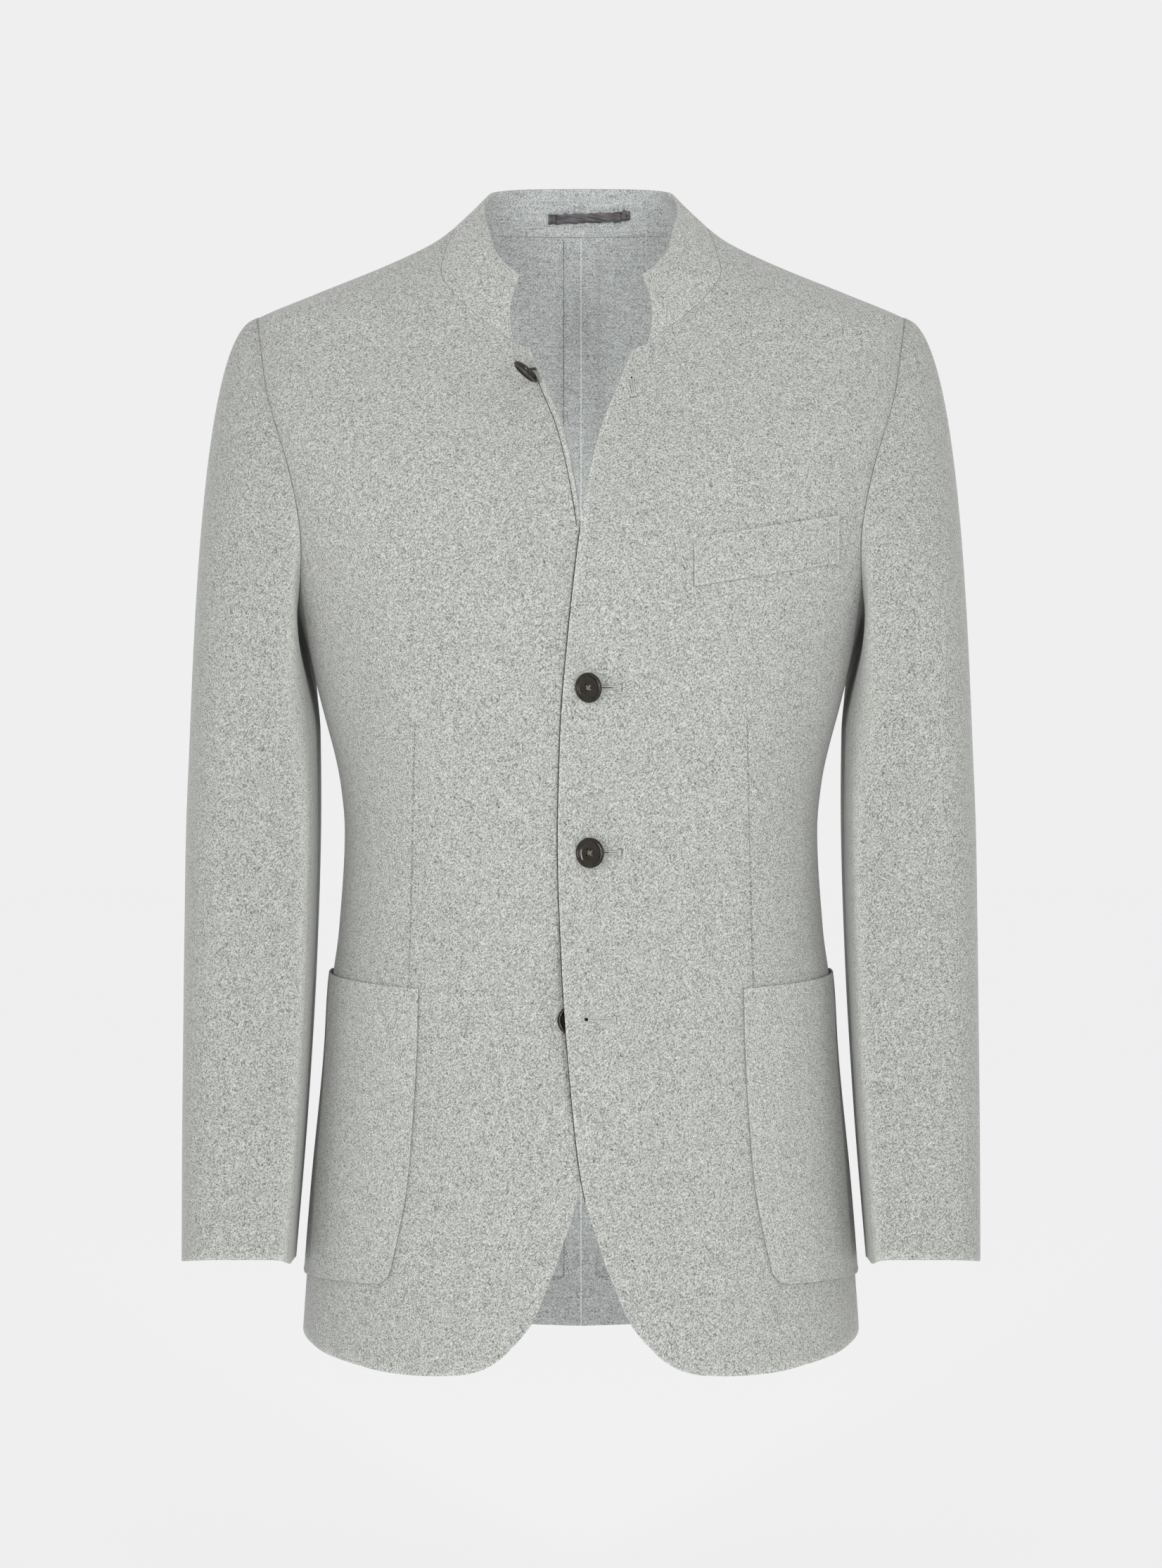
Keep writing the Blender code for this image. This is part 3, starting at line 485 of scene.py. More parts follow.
def cloth(node, outer, inner, finishes, folded, held, rests_on, slot="wool", turned_under=0.0):
    """A closed wall of cloth in place of a solid; folded names the edges that are turned, not sewn on."""
    rows, columns = outer.shape[:2]
    count = rows * columns
    index = np.arange(count).reshape(rows, columns)
    corners = (index[:-1, :-1], index[:-1, 1:], index[1:, 1:], index[1:, :-1])
    outside = np.stack(corners, axis=-1).reshape(-1, 4)
    inside = outside[:, ::-1] + count
    rim = np.concatenate((index[0], index[1:, -1], index[-1, -2::-1], index[-2:0:-1, 0]))
    after = np.roll(rim, -1)
    edge = np.stack((rim, rim + count, after + count, after), axis=-1)
    points = np.concatenate((outer.reshape(-1, 3), inner.reshape(-1, 3)))
    faces = np.concatenate((outside, inside, edge))
    piece = finished(f"cloth_{node}", points, faces, finishes)
    side_of_cloth = np.zeros(len(faces), int)
    side_of_cloth[len(outside) : 2 * len(outside)] = len(finishes) - 1
    piece.data.polygons.foreach_set("material_index", side_of_cloth)
    edges = (index[0], index[-1], index[:, 0], index[:, -1])
    # Folded edges get rim 1, which the wool turns into a painted highlight.
    bright = np.zeros(2 * count)
    for name in folded:
        bright[edges[FOLDED[name]]] = 1.0
    piece.data.attributes.new("rim", "FLOAT", "POINT").data.foreach_set("value", bright)
    rounding = piece.modifiers.new("rounding", "BEVEL")
    rounding.limit_method = "ANGLE"
    rounding.angle_limit = EDGE_ANGLE
    rounding.width = EDGE_ROUND
    rounding.segments = 2
    width, length, area = flat_cut(outer)
    length = length + turned_under
    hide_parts(node)
    print(f"{piece.name}: {len(faces)} faces, flat {width:.3f} x {length:.3f} m, {area:.4f} square metres")
    return piece


print("edges of the cloth are rounded by", EDGE_ROUND * 1000, "mm")

# %% [markdown]
# ## Soft creases
#
# This flannel is pressed and hangs almost without a fold, so it gets only a few shallow troughs, where
# a worn jacket bends: below the armholes, beside the fastened buttons and inside the elbows. A cloth
# simulation would wrinkle it more than the real one. Each trough is given from one point to another,
# with its own width and depth.

# %% Soft creases
Crease = namedtuple("Crease", "start end width depth")
CREASE_ANGLES = (np.pi * 0.15, np.pi * 0.85)


def creased(points, outward, side, creases):
    """Points pressed in along the creases, which are given for the left side."""
    first_angle, last_angle = CREASE_ANGLES
    for crease in creases:
        start = np.array(crease.start) * (side, 1, 1)
        along = np.array(crease.end) * (side, 1, 1) - start
        share = np.clip((points - start) @ along / (along @ along), 0.0, 1.0)
        away = np.linalg.norm(points - start - share[..., None] * along, axis=-1)
        fade = np.sin(first_angle + (last_angle - first_angle) * share)
        trough = crease.depth * np.exp(-((away / crease.width) ** 2)) * fade
        points = points - outward * trough[..., None]
    return points


FRONT_CREASES = [
    Crease((0.166, -0.075, -0.290), (0.128, -0.112, -0.345), 0.013, 0.0013),
    Crease((0.160, -0.070, -0.325), (0.135, -0.098, -0.372), 0.011, 0.0009),
    Crease((0.028, -0.128, -0.428), (0.098, -0.112, -0.402), 0.010, 0.0006),
    Crease((0.030, -0.128, -0.436), (0.105, -0.110, -0.462), 0.012, 0.0006),
    Crease((0.030, -0.133, -0.322), (0.092, -0.124, -0.300), 0.011, 0.0005),
]
BACK_CREASES = [
    Crease((0.172, 0.055, -0.262), (0.135, 0.098, -0.335), 0.013, 0.0014),
    Crease((0.160, 0.052, -0.325), (0.128, 0.088, -0.385), 0.011, 0.0010),
    Crease((0.025, 0.113, -0.402), (0.112, 0.084, -0.392), 0.014, 0.0010),
    Crease((0.040, 0.113, -0.440), (0.120, 0.082, -0.446), 0.016, 0.0008),
    Crease((0.020, 0.070, -0.040), (0.085, 0.072, -0.052), 0.013, 0.0008),
]
SLEEVE_CREASES = [
    Crease((0.196, -0.052, -0.452), (0.252, -0.060, -0.424), 0.013, 0.0013),
    Crease((0.200, -0.056, -0.488), (0.262, -0.040, -0.470), 0.012, 0.0010),
    Crease((0.262, 0.030, -0.455), (0.215, 0.062, -0.440), 0.014, 0.0010),
    Crease((0.252, -0.052, -0.300), (0.222, -0.068, -0.345), 0.014, 0.0009),
]
crease_counts = [len(creases) for creases in (FRONT_CREASES, BACK_CREASES, SLEEVE_CREASES)]
print("creases on a front, a back and a sleeve:", crease_counts)

# %% [markdown]
# ## The fronts
#
# The two fronts are the heart of the cut. Each has four edges: the hem, the front edge with the
# neckline, the side seam with the armhole, and the shoulder. They could be drawn as curve objects, but
# short tables of measures are what a cutter keeps, and a curve is read from them where it is needed.

# %% Front edge, hem and neckline
FrontEdgeRow = namedtuple("FrontEdgeRow", "level own_x")
FRONT_EDGE = [
    FrontEdgeRow(-0.0915, 0.0345),
    FrontEdgeRow(-0.121, 0.0228),
    FrontEdgeRow(-0.145, 0.0133),
    FrontEdgeRow(-0.177, 0.0055),
    FrontEdgeRow(-0.210, 0.0),
    FrontEdgeRow(-0.282, -0.0083),
    FrontEdgeRow(-0.348, -0.0135),
    FrontEdgeRow(-0.420, -0.0152),
    FrontEdgeRow(-0.503, -0.0124),
    FrontEdgeRow(-0.580, -0.0068),
    FrontEdgeRow(-0.642, 0.0005),
    FrontEdgeRow(-0.691, 0.0147),
    FrontEdgeRow(-0.718, 0.0251),
    FrontEdgeRow(-0.7345, 0.0327),
    FrontEdgeRow(-0.7468, 0.0423),
]
HemRow = namedtuple("HemRow", "turn level")
HEM = [
    HemRow(10.4, -0.7468),
    HemRow(13.7, -0.758),
    HemRow(17.8, -0.7656),
    HemRow(22.0, -0.7684),
    HemRow(29.0, -0.7695),
    HemRow(38.5, -0.7686),
    HemRow(50.0, -0.7646),
    HemRow(62.6, -0.760),
    HemRow(75.0, -0.754),
    HemRow(90.0, -0.749),
    HemRow(104.0, -0.749),
    HemRow(140.0, -0.757),
    HemRow(180.0, -0.763),
]
NecklineRow = namedtuple("NecklineRow", "level own_x")
NECKLINE = [
    NecklineRow(-0.088, 0.044),
    NecklineRow(-0.074, 0.062),
    NecklineRow(-0.0637, 0.0745),
    NecklineRow(-0.051, 0.0865),
    NecklineRow(-0.036, 0.0945),
    NecklineRow(-0.020, 0.0915),
    NecklineRow(-0.003, 0.086),
]


def hem(turn):
    """Level of the hem at a turn."""
    return smooth(np.radians(column(HEM, "turn")), column(HEM, "level"), turn)


def neckline_turns():
    """Turns and levels of the front neckline, from the collar's end to the neck point."""
    knots = np.arange(len(NECKLINE))
    along = finer(knots, FINE)
    level = smooth(knots, column(NECKLINE, "level"), along)
    turn = turn_at(smooth(knots, column(NECKLINE, "own_x"), along), level)
    turn[-1] = np.pi / 2
    return pairs(turn, level)


print("neckline has", len(neckline_turns()), "points on each front")

# %% [markdown]
# ## Side seam and armhole
#
# The side seam lies a little behind the middle, where a tailor puts it. The armhole is an egg shape
# that is wider below and reaches further into the front. A patch of turns and levels is then filled in
# between four edges, which gives even cells, as a cut through a tube would not.

# %% Side seam, armhole and the patch between four edges
SHOULDER_LEVEL = -0.064
UNDERARM_LEVEL = -0.272
SideSeamRow = namedtuple("SideSeamRow", "level turn")
SIDE_SEAM = [
    SideSeamRow(-0.272, 99.0),
    SideSeamRow(-0.360, 101.5),
    SideSeamRow(-0.500, 104.0),
    SideSeamRow(-0.790, 104.0),
]
ARMHOLE_FRONT_SPREAD = 36.5
ARMHOLE_BACK_SPREAD = 25.0
ARMHOLE_LOW_SHARE = 1.30
ARMHOLE_SKEW = 0.65


def side_seam(level, shift):
    """Side seam at the levels, shifted towards the panel that it ends."""
    return pairs(np.radians(table_curve(SIDE_SEAM, "turn", level)) + shift, level)


def armhole(around):
    """Turn and level of the armhole; around is 0 at its front, 90 at the shoulder tip."""
    height = 0.5 + 0.5 * np.sin(around)
    spread = np.cos(around) * (ARMHOLE_LOW_SHARE - ARMHOLE_SKEW * height)
    spread = spread * np.where(spread > 0, ARMHOLE_FRONT_SPREAD, ARMHOLE_BACK_SPREAD)
    middle = SIDE_SEAM[0].turn + (90 - SIDE_SEAM[0].turn) * height
    level = UNDERARM_LEVEL + (SHOULDER_LEVEL - UNDERARM_LEVEL) * height
    return np.radians(middle - spread), level


def fill(bottom, top, inner, outer, across, upward):
    """Turns and levels that fill the patch between four edges."""
    p = np.asarray(across)[None, :, None]
    q = np.asarray(upward)[:, None, None]
    sides = (1 - p) * inner[:, None] + p * outer[:, None]
    ends = (1 - q) * bottom[None] + q * top[None]
    low = (1 - p) * bottom[0] + p * bottom[-1]
    high = (1 - p) * top[0] + p * top[-1]
    return sides + ends - (1 - q) * low - q * high


print("armhole is", round(SHOULDER_LEVEL - UNDERARM_LEVEL, 3), "m high")

# %% [markdown]
# ## Overlap and rolled edges
#
# The left front laps over the right one and lifts a little over the lowest button, and at the open neck
# both edges roll forward. Sculpting could do that, but a distance that is added to the figure's depth
# keeps both fronts apart by a known gap, so they never cut through each other.

# %% How far the fronts stand forward
OVERLAP = 0.0037
OVERLAP_FADE = (0.030, 0.065)
OVERLAP_TOP = (-0.165, -0.205)
OVERLAP_LOW = (-0.66, -0.74)
BUTTON_RISE = 0.0044
RISE_ACROSS = (0.016, 0.050)
RISE_ALONG = (0.024, 0.075)
RollRow = namedtuple("RollRow", "level left right")
ROLL = [
    RollRow(-0.0915, 0.002, 0.006),
    RollRow(-0.110, 0.004, 0.012),
    RollRow(-0.140, 0.004, 0.011),
    RollRow(-0.170, 0.002, 0.006),
    RollRow(-0.205, 0.0, 0.0),
]
ROLL_WIDTH = 0.022
ROLL_MOST = 1.3
ButtonRow = namedtuple("ButtonRow", "node side own_x level hang lean")
BUTTONS = [
    ButtonRow("button_1", RIGHT, 0.0300, -0.1060, (0.0051, -0.0112, -0.0015), (0.65, -0.15, -0.745)),
    ButtonRow("button_2", LEFT, 0.0046, -0.318, (0.0013, -0.0045, 0.0), (-0.51, -0.85, -0.09)),
    ButtonRow("button_3", LEFT, 0.0060, -0.426, (0.0006, -0.0035, 0.0), (-0.39, -0.92, -0.03)),
    ButtonRow("button_4", RIGHT, 0.0055, -0.536, None, None),
]
COVERED_BUTTON = BUTTONS[3]


def forward_of_front(side, own_x, level):
    """How far a front stands forward of the figure: its rolled edge, and the overlap."""
    from_edge = own_x - table_curve(FRONT_EDGE, "own_x", level)
    roll = table_curve(ROLL, SIDE_NAMES[side], level)
    forward = roll * np.clip(1 - from_edge / ROLL_WIDTH, 0.0, ROLL_MOST) ** 2
    if side == LEFT:
        along = eased(*OVERLAP_TOP, level) * (1 - eased(*OVERLAP_LOW, level))
        forward = forward + OVERLAP * along * (1 - eased(*OVERLAP_FADE, own_x))
        rise = 1 - eased(*RISE_ACROSS, np.abs(own_x + COVERED_BUTTON.own_x))
        rise = rise * (1 - eased(*RISE_ALONG, np.abs(level - COVERED_BUTTON.level)))
        forward = forward + BUTTON_RISE * rise
    return forward


def front_face(side, turn, level):
    """Outer face of a front panel."""
    point = figure(turn, level)
    point[..., 1] -= forward_of_front(side, point[..., 0], point[..., 2])
    point[..., 0] *= side
    return point


def on_front(side, own_x, level):
    """Point on a front and its outward direction, so far out from the centre."""
    own_x, level = np.broadcast_arrays(np.asarray(own_x, float), np.asarray(level, float))
    turn = turn_at(own_x, level)
    return front_face(side, turn, level), facing(front_face, side, turn, level)


print("left front stands", OVERLAP * 1000, "mm before the right one where they lap")

# %% [markdown]
# ## Cloth on the fronts
#
# The cloth is turned in along the front edge, so it is thicker there. Each front is made as a grid of
# points, outside and inside, and both fronts share one grid: only the side and the overlap differ.

# %% Cloth of the fronts
CLOTH = 0.0018
FRONT_EDGE_CLOTH = 0.0030
FRONT_EDGE_BAND = (0.011, 0.027)
SEAM_TURN = 0.00125
HEM_SIDE_SEAM = 104.0
NECK_LEVEL = -0.003
SIDE_STEPS = 68
ARMHOLE_STEPS = 48
FRONT_COLUMNS = (0.0, 0.025, 0.055, 0.10, 0.16, 0.23, 0.31, 0.39, 0.47, 0.55, 0.64, 0.73, 0.82, 0.91, 1.0)
EDGE_STOPS = (-0.7468, -0.640, -0.265, -0.0915)
EDGE_STEPS = (5, 12, 5)


def front_grid():
    """Turns and levels of a front panel, rows from the hem up and columns from its edge out."""
    across = finer(FRONT_COLUMNS, FINE)
    runs = zip(EDGE_STOPS, EDGE_STOPS[1:], EDGE_STEPS)
    levels = [np.linspace(low, high, FINE * steps + 1)[:-1] for low, high, steps in runs]
    edge_level = np.concatenate((*levels, EDGE_STOPS[-1:]))
    edge = pairs(turn_at(table_curve(FRONT_EDGE, "own_x", edge_level), edge_level), edge_level)
    neckline = neckline_turns()
    corner = np.linspace(edge[-1], neckline[0], FINE + 1)[1:-1]
    inner = np.concatenate((edge, corner, neckline))
    first_turn = np.radians(HEM[0].turn)
    seam_turn = np.radians(HEM_SIDE_SEAM) - SEAM_TURN
    bottom_turn = first_turn + across * (seam_turn - first_turn)
    bottom = pairs(bottom_turn, hem(bottom_turn))
    bottom[0] = inner[0]
    side_level = np.linspace(bottom[-1, 1], UNDERARM_LEVEL, SIDE_STEPS + 1)
    around = np.radians(np.linspace(-90, 90, ARMHOLE_STEPS + 1)[1:])
    outer = np.concatenate((side_seam(side_level, -SEAM_TURN), pairs(*armhole(around))))
    top = pairs(np.pi / 2, NECK_LEVEL + across * (SHOULDER_LEVEL - NECK_LEVEL))
    return fill(bottom, top, inner, outer, across, np.linspace(0, 1, len(inner)))


for side in (LEFT, RIGHT):
    grid = front_grid()
    turn, level = grid[..., 0], grid[..., 1]
    outward = facing(front_face, side, turn, level)
    outer = creased(front_face(side, turn, level), outward, side, FRONT_CREASES)
    own_x = outer[..., 0] * side
    band = eased(*FRONT_EDGE_BAND, own_x - own_x[:, :1])
    thickness = FRONT_EDGE_CLOTH + (CLOTH - FRONT_EDGE_CLOTH) * band
    inner = outer - outward * thickness[..., None]
    name = SIDE_NAMES[side]
    folds = ("first_row", "first_column")
    cloth(f"front_{name}", outer, inner, (front_wool, wrong_side), folds, "hung", [f"back_{name}"])

# %% [markdown]
# ## The back
#
# The back is two halves with a seam down the middle. Inside, the seam allowances are pressed open and
# the hem is turned up, and both show through the open neck and below the fronts. They could be separate
# strips, but they are the same cloth folded over, so the wall is simply thicker there, with rows and
# columns of points set close on both sides of each folded edge.

# %% Cloth of the back
SEAM_GAP = 0.0003
TURNED_IN = 0.0010
ALLOWANCE = 0.0120
TURN_UP = 0.0340
FOLD_STEP = 0.0005
BACK_COLUMNS = 48
BACK_NECK_STEPS = 28
TURN_UP_ROWS = (0.0, 0.009, 0.018, 0.027, TURN_UP - FOLD_STEP, TURN_UP + FOLD_STEP)
ALLOWANCE_COLUMNS = (SEAM_GAP / 2, ALLOWANCE / 2, ALLOWANCE - FOLD_STEP, ALLOWANCE + FOLD_STEP)
EASED_COLUMNS = 9


def back_face(side, turn, level):
    """Outer face of a back panel."""
    point = figure(turn, level)
    point[..., 0] *= side
    return point


def above_turn_up(low, high, rows):
    """Levels of so many rows from the hem up, two of them at the turn-up's edge."""
    lower = low + np.array(TURN_UP_ROWS)
    upper = np.linspace(lower[-1], high, rows + 2 - len(lower))[1:]
    return np.concatenate((lower, upper))


def back_neck_turns():
    """Turns of the back neckline, from the back centre to the neck point."""
    return np.linspace(np.pi, np.pi / 2, BACK_NECK_STEPS + 1)


def back_grid():
    """Turns and levels of a back panel, rows from the hem up and columns from the back seam out."""
    across = np.linspace(0, 1, BACK_COLUMNS + 1)
    centre = np.pi - turn_at(SEAM_GAP / 2, HEM[-1].level)
    seam_turn = np.radians(HEM_SIDE_SEAM) + SEAM_TURN
    bottom_turn = centre + across * (seam_turn - centre)
    bottom = pairs(bottom_turn, hem(bottom_turn))
    side_level = above_turn_up(bottom[-1, 1], UNDERARM_LEVEL, SIDE_STEPS)
    around = np.radians(np.linspace(270, 90, ARMHOLE_STEPS + 1)[1:])
    outer = np.concatenate((side_seam(side_level, SEAM_TURN), pairs(*armhole(around))))
    seam_rows = len(outer) - 1 - BACK_NECK_STEPS
    seam = pairs(centre, above_turn_up(bottom[0, 1], NECK_LEVEL, seam_rows))
    inner = np.concatenate((seam, pairs(back_neck_turns()[1:], NECK_LEVEL)))
    shoulder_turn = np.pi / 2 + SEAM_TURN
    top = pairs(shoulder_turn, NECK_LEVEL + across * (SHOULDER_LEVEL - NECK_LEVEL))
    inner[-1] = top[0]
    outer[-1] = top[-1]
    grid = fill(bottom, top, inner, outer, across, np.linspace(0, 1, len(inner)))
    seam_level = grid[: seam_rows + 1, :, 1]
    far_x = figure(grid[: seam_rows + 1, EASED_COLUMNS, 0], seam_level[:, EASED_COLUMNS])[:, 0]
    for place in range(EASED_COLUMNS):
        past = place + 1 - len(ALLOWANCE_COLUMNS)
        own_x = ALLOWANCE_COLUMNS[min(place, len(ALLOWANCE_COLUMNS) - 1)]
        if past > 0:
            own_x = own_x + (far_x - own_x) * past / (EASED_COLUMNS + 1 - len(ALLOWANCE_COLUMNS))
        grid[: seam_rows + 1, place, 0] = np.pi - turn_at(own_x, seam_level[:, place])
    for place, height in enumerate(TURN_UP_ROWS):
        grid[place, :, 1] = hem(grid[place, :, 0]) + height
    return grid, seam_rows


for side in (LEFT, RIGHT):
    grid, seam_rows = back_grid()
    turn, level = grid[..., 0], grid[..., 1]
    outward = facing(back_face, side, turn, level)
    outer = creased(back_face(side, turn, level), outward, side, BACK_CREASES)
    thickness = np.full(turn.shape, CLOTH)
    thickness[: len(TURN_UP_ROWS) - 1] = CLOTH + TURNED_IN
    thickness[: seam_rows + 1, : len(ALLOWANCE_COLUMNS) - 1] = CLOTH + TURNED_IN
    inner = outer - outward * thickness[..., None]
    name = SIDE_NAMES[side]
    cloth(f"back_{name}", outer, inner, (shaded_copy_wool, wrong_side), ("first_row",), "hung", ["collar"])

# %% [markdown]
# ## The sleeves
#
# The cap of a tailored sleeve swells out of the armhole before it drops. Here it is a set of curves that
# leave the armhole along the shoulder and arrive at the first ring of the arm with the arm's own slope,
# so that no kink shows. Modelling the sleeve as a bent cylinder would lose that swell.

# %% Rings and cap of a sleeve
SleeveRow = namedtuple("SleeveRow", "level outer_x inner_x centre_y half_depth inner_roundness")
SLEEVE = [
    SleeveRow(-0.345, 0.2650, 0.1785, 0.008, 0.076, 4.0),
    SleeveRow(-0.420, 0.2675, 0.1790, 0.002, 0.071, 9.0),
    SleeveRow(-0.500, 0.2682, 0.1810, -0.006, 0.066, 9.0),
    SleeveRow(-0.600, 0.2684, 0.1860, -0.020, 0.060, 9.0),
    SleeveRow(-0.7014, 0.2678, 0.1934, -0.036, 0.054, 9.0),
]
SLEEVE_ROUNDNESS = 3.0
CAP_STEPS = (0.0, 0.07, 0.16, 0.28, 0.42, 0.57, 0.72, 0.86, 1.0)
CAP_RISE_TOP = np.array((1.0, 0.0, -0.05)) * 0.105
CAP_RISE_BOTTOM = np.array((0.25, 0.0, -1.0)) * 0.050
CAP_FORWARD = 0.030
CAP_SEAM = 0.00015
CAP_CLEAR = 0.0018
CAP_BLEND = 0.010


def sleeve_ring(row_level, around):
    """Points of the sleeve below its cap, on its own side."""
    level, around = np.broadcast_arrays(np.asarray(row_level, float), around)
    outer = table_curve(SLEEVE, "outer_x", level)
    inner = table_curve(SLEEVE, "inner_x", level)
    low = np.sin(around) < -1e-9
    power = 2 / np.where(low, table_curve(SLEEVE, "inner_roundness", level), SLEEVE_ROUNDNESS)
    sine = np.sin(around)
    cosine = np.cos(around)
    x = (outer + inner) / 2 + (outer - inner) / 2 * np.sign(sine) * np.abs(sine) ** power
    swing = table_curve(SLEEVE, "half_depth", level) * np.sign(cosine) * np.abs(cosine) ** power
    return np.stack((x, table_curve(SLEEVE, "centre_y", level) - swing, level), axis=-1)


def sleeve_cap(around):
    """Rows of the cap, from the armhole to the sleeve's first ring."""
    turn, level = armhole(around)
    start = figure(turn, level)
    end = sleeve_ring(SLEEVE[0].level, around)
    height = eased(0.0, 1.0, 0.5 + 0.5 * np.sin(around))[:, None]
    rise = CAP_RISE_BOTTOM * (1 - height) + CAP_RISE_TOP * height
    rise[:, 1] -= CAP_FORWARD * np.cos(around)
    below = sleeve_ring(SLEEVE[0].level - CAP_BLEND, around)
    drop = (below - end) / CAP_BLEND * (start[:, 2:] - end[:, 2:])
    body_out = facing(back_face, LEFT, turn, level)
    start = start + CAP_SEAM * unit(unit(rise) + body_out)
    share = finer(CAP_STEPS, FINE)[:, None, None]
    rest = 1 - share
    rows = rest**2 * ((1 + 2 * share) * start + share * rise)
    rows = rows + share**2 * ((3 - 2 * share) * end - rest * drop)
    least = figure_half_width(rows[..., 1], rows[..., 2])
    least = least + CAP_CLEAR * np.minimum(1, share[..., 0] / CAP_STEPS[2])
    rows[1:, :, 0] = np.maximum(rows[1:, :, 0], least[1:])
    return rows


print("sleeve is", round(SLEEVE[-1].outer_x - SLEEVE[-1].inner_x, 4), "m wide at the cuff")

# %% [markdown]
# ## Cloth on the sleeves
#
# A sleeve has two pieces, a wide top sleeve and a narrow under sleeve, with a seam before and behind the
# arm. Both are cut from one grid of points round the arm, so they meet at their seams. The cuff tilts a
# little, as a sleeve does that hangs forward.

# %% Cloth of the sleeves
CUFF_TILT = 0.0049
SLEEVE_LOW_ROWS = 52
SLEEVE_TURN = 5
SLEEVE_SEAMS = (-60, 210)


def sleeve_points():
    """Outer points of a whole left sleeve, their outward directions and the way round the arm."""
    around = np.radians(np.arange(0, 360, SLEEVE_TURN))
    levels = np.linspace(SLEEVE[0].level, SLEEVE[-1].level, SLEEVE_LOW_ROWS + 1)[1:]
    outer = np.concatenate((sleeve_cap(around), sleeve_ring(levels[:, None], around[None])))
    low = eased(SLEEVE[2].level, SLEEVE[-1].level, outer[..., 2])
    outer[..., 2] += CUFF_TILT * np.cos(around) * low
    along = np.gradient(outer, axis=0)
    across = np.roll(outer, -1, axis=1) - np.roll(outer, 1, axis=1)
    outward = unit(np.cross(along, across))
    return creased(outer, outward, LEFT, SLEEVE_CREASES), outward, unit(across)


for side in (LEFT, RIGHT):
    outer, outward, across = sleeve_points()
    inner = outer - CLOTH * outward
    columns = outer.shape[1]
    start, end = (seam // SLEEVE_TURN for seam in SLEEVE_SEAMS)
    spans = {"top": range(start, end + 1), "under": range(end, start + columns + 1)}
    for name, span in spans.items():
        places = [place % columns for place in span]
        shift = np.zeros((len(places), 1))
        shift[0] = SEAM_GAP / 2
        shift[-1] = -SEAM_GAP / 2
        walls = [points[:, places] + across[:, places] * shift for points in (outer, inner)]
        for points in walls:
            points[..., 0] *= side
        body = f"front_{SIDE_NAMES[side]}"
        node = f"sleeve_{SIDE_NAMES[side]}_{name}"
        cloth(node, *walls, (shaded_copy_wool, wrong_side), ("last_row",), "hung", [body])

# %% [markdown]
# ## The collar
#
# A mandarin collar is one stiffened band that stands on the neckline and leaves a gap in front. Its
# lower edge is the neckline itself, taken from the fronts and the back, so the seam closes by itself.
# Its upper edge is a short table. Near each front end the band bows outwards a little.

# %% Cloth of the collar
COLLAR_CLOTH = 0.0026
CollarRow = namedtuple("CollarRow", "x y z")
COLLAR_TOP = [
    CollarRow(0.0, 0.0480, 0.0290),
    CollarRow(0.0350, 0.0420, 0.0280),
    CollarRow(0.0550, 0.0300, 0.0255),
    CollarRow(0.0625, 0.0160, 0.0218),
    CollarRow(0.0660, 0.0000, 0.0095),
    CollarRow(0.0627, -0.0180, -0.0038),
    CollarRow(0.0581, -0.0360, -0.0210),
    CollarRow(0.0480, -0.0510, -0.0344),
    CollarRow(0.0408, -0.0580, -0.0400),
]
COLLAR_ROWS = 14
COLLAR_END_BOW = 0.005
COLLAR_END_REACH = 0.16
COLLAR_FOOT = 0.35


def run_along(points):
    """Distance from the first point to each one, along the line of points."""
    return np.insert(np.cumsum(np.linalg.norm(np.diff(points, axis=0), axis=1)), 0, 0.0)


def collar_half(side):
    """Lower and upper edge of half a collar, from the back centre to its front end."""
    back = (back_face, side, back_neck_turns(), NECK_LEVEL)
    front = (front_face, side, *neckline_turns()[::-1][1:].T)
    base = np.concatenate([face(*place) for face, *place in (back, front)])
    seam_inward = -np.concatenate([facing(*place) for place in (back, front)])
    base_share = run_along(base) / run_along(base)[-1]
    knots = np.stack([column(COLLAR_TOP, name) for name in CollarRow._fields], axis=-1)
    run = run_along(knots)
    top = np.stack([smooth(run, knots[:, axis], base_share * run[-1]) for axis in range(3)], axis=-1)
    top[:, 0] *= side
    near_end = eased(1 - COLLAR_END_REACH, 1.0, base_share)
    return base, top, near_end, seam_inward


def collar_points():
    """Outer and inner points of the collar, rows upward and columns from right to left."""
    halves = [collar_half(side) for side in (RIGHT, LEFT)]
    joined = [np.concatenate((right[:0:-1], left)) for right, left in zip(*halves)]
    base, top, near_end, seam_inward = joined
    base = base + SEAM_GAP * unit(top - base)
    share = np.linspace(0, 1, COLLAR_ROWS + 1)[:, None, None]
    outer = base * (1 - share) + top * share
    bow = COLLAR_END_BOW * 4 * share[..., 0] * (1 - share[..., 0]) * near_end
    outer[..., 0] += bow * np.sign(outer[..., 0])
    inward = unit(np.cross(np.gradient(outer, axis=1), np.gradient(outer, axis=0)))
    foot = 1 - eased(0.0, COLLAR_FOOT, share)
    inward = unit(inward * (1 - foot) + seam_inward * foot)
    return outer, outer + COLLAR_CLOTH * inward, inward


collar_outer, collar_inner, collar_inward = collar_points()
folds = ("last_row", "first_column", "last_column")
backs = ["back_left", "back_right"]
cloth("collar", collar_outer, collar_inner, (trim_wool, wrong_side), folds, "stretched", backs)

# %% [markdown]
# ## Patch pockets and breast welt
#
# Patch pockets are sewn flat on the fronts and gape a little at the outer end of the mouth. The welt is
# a narrow strip over the breast pocket's slit. Both take the front's own points, moved out, so they
# follow its curve exactly. The pockets narrow towards the bottom, and their lower corners are arcs.

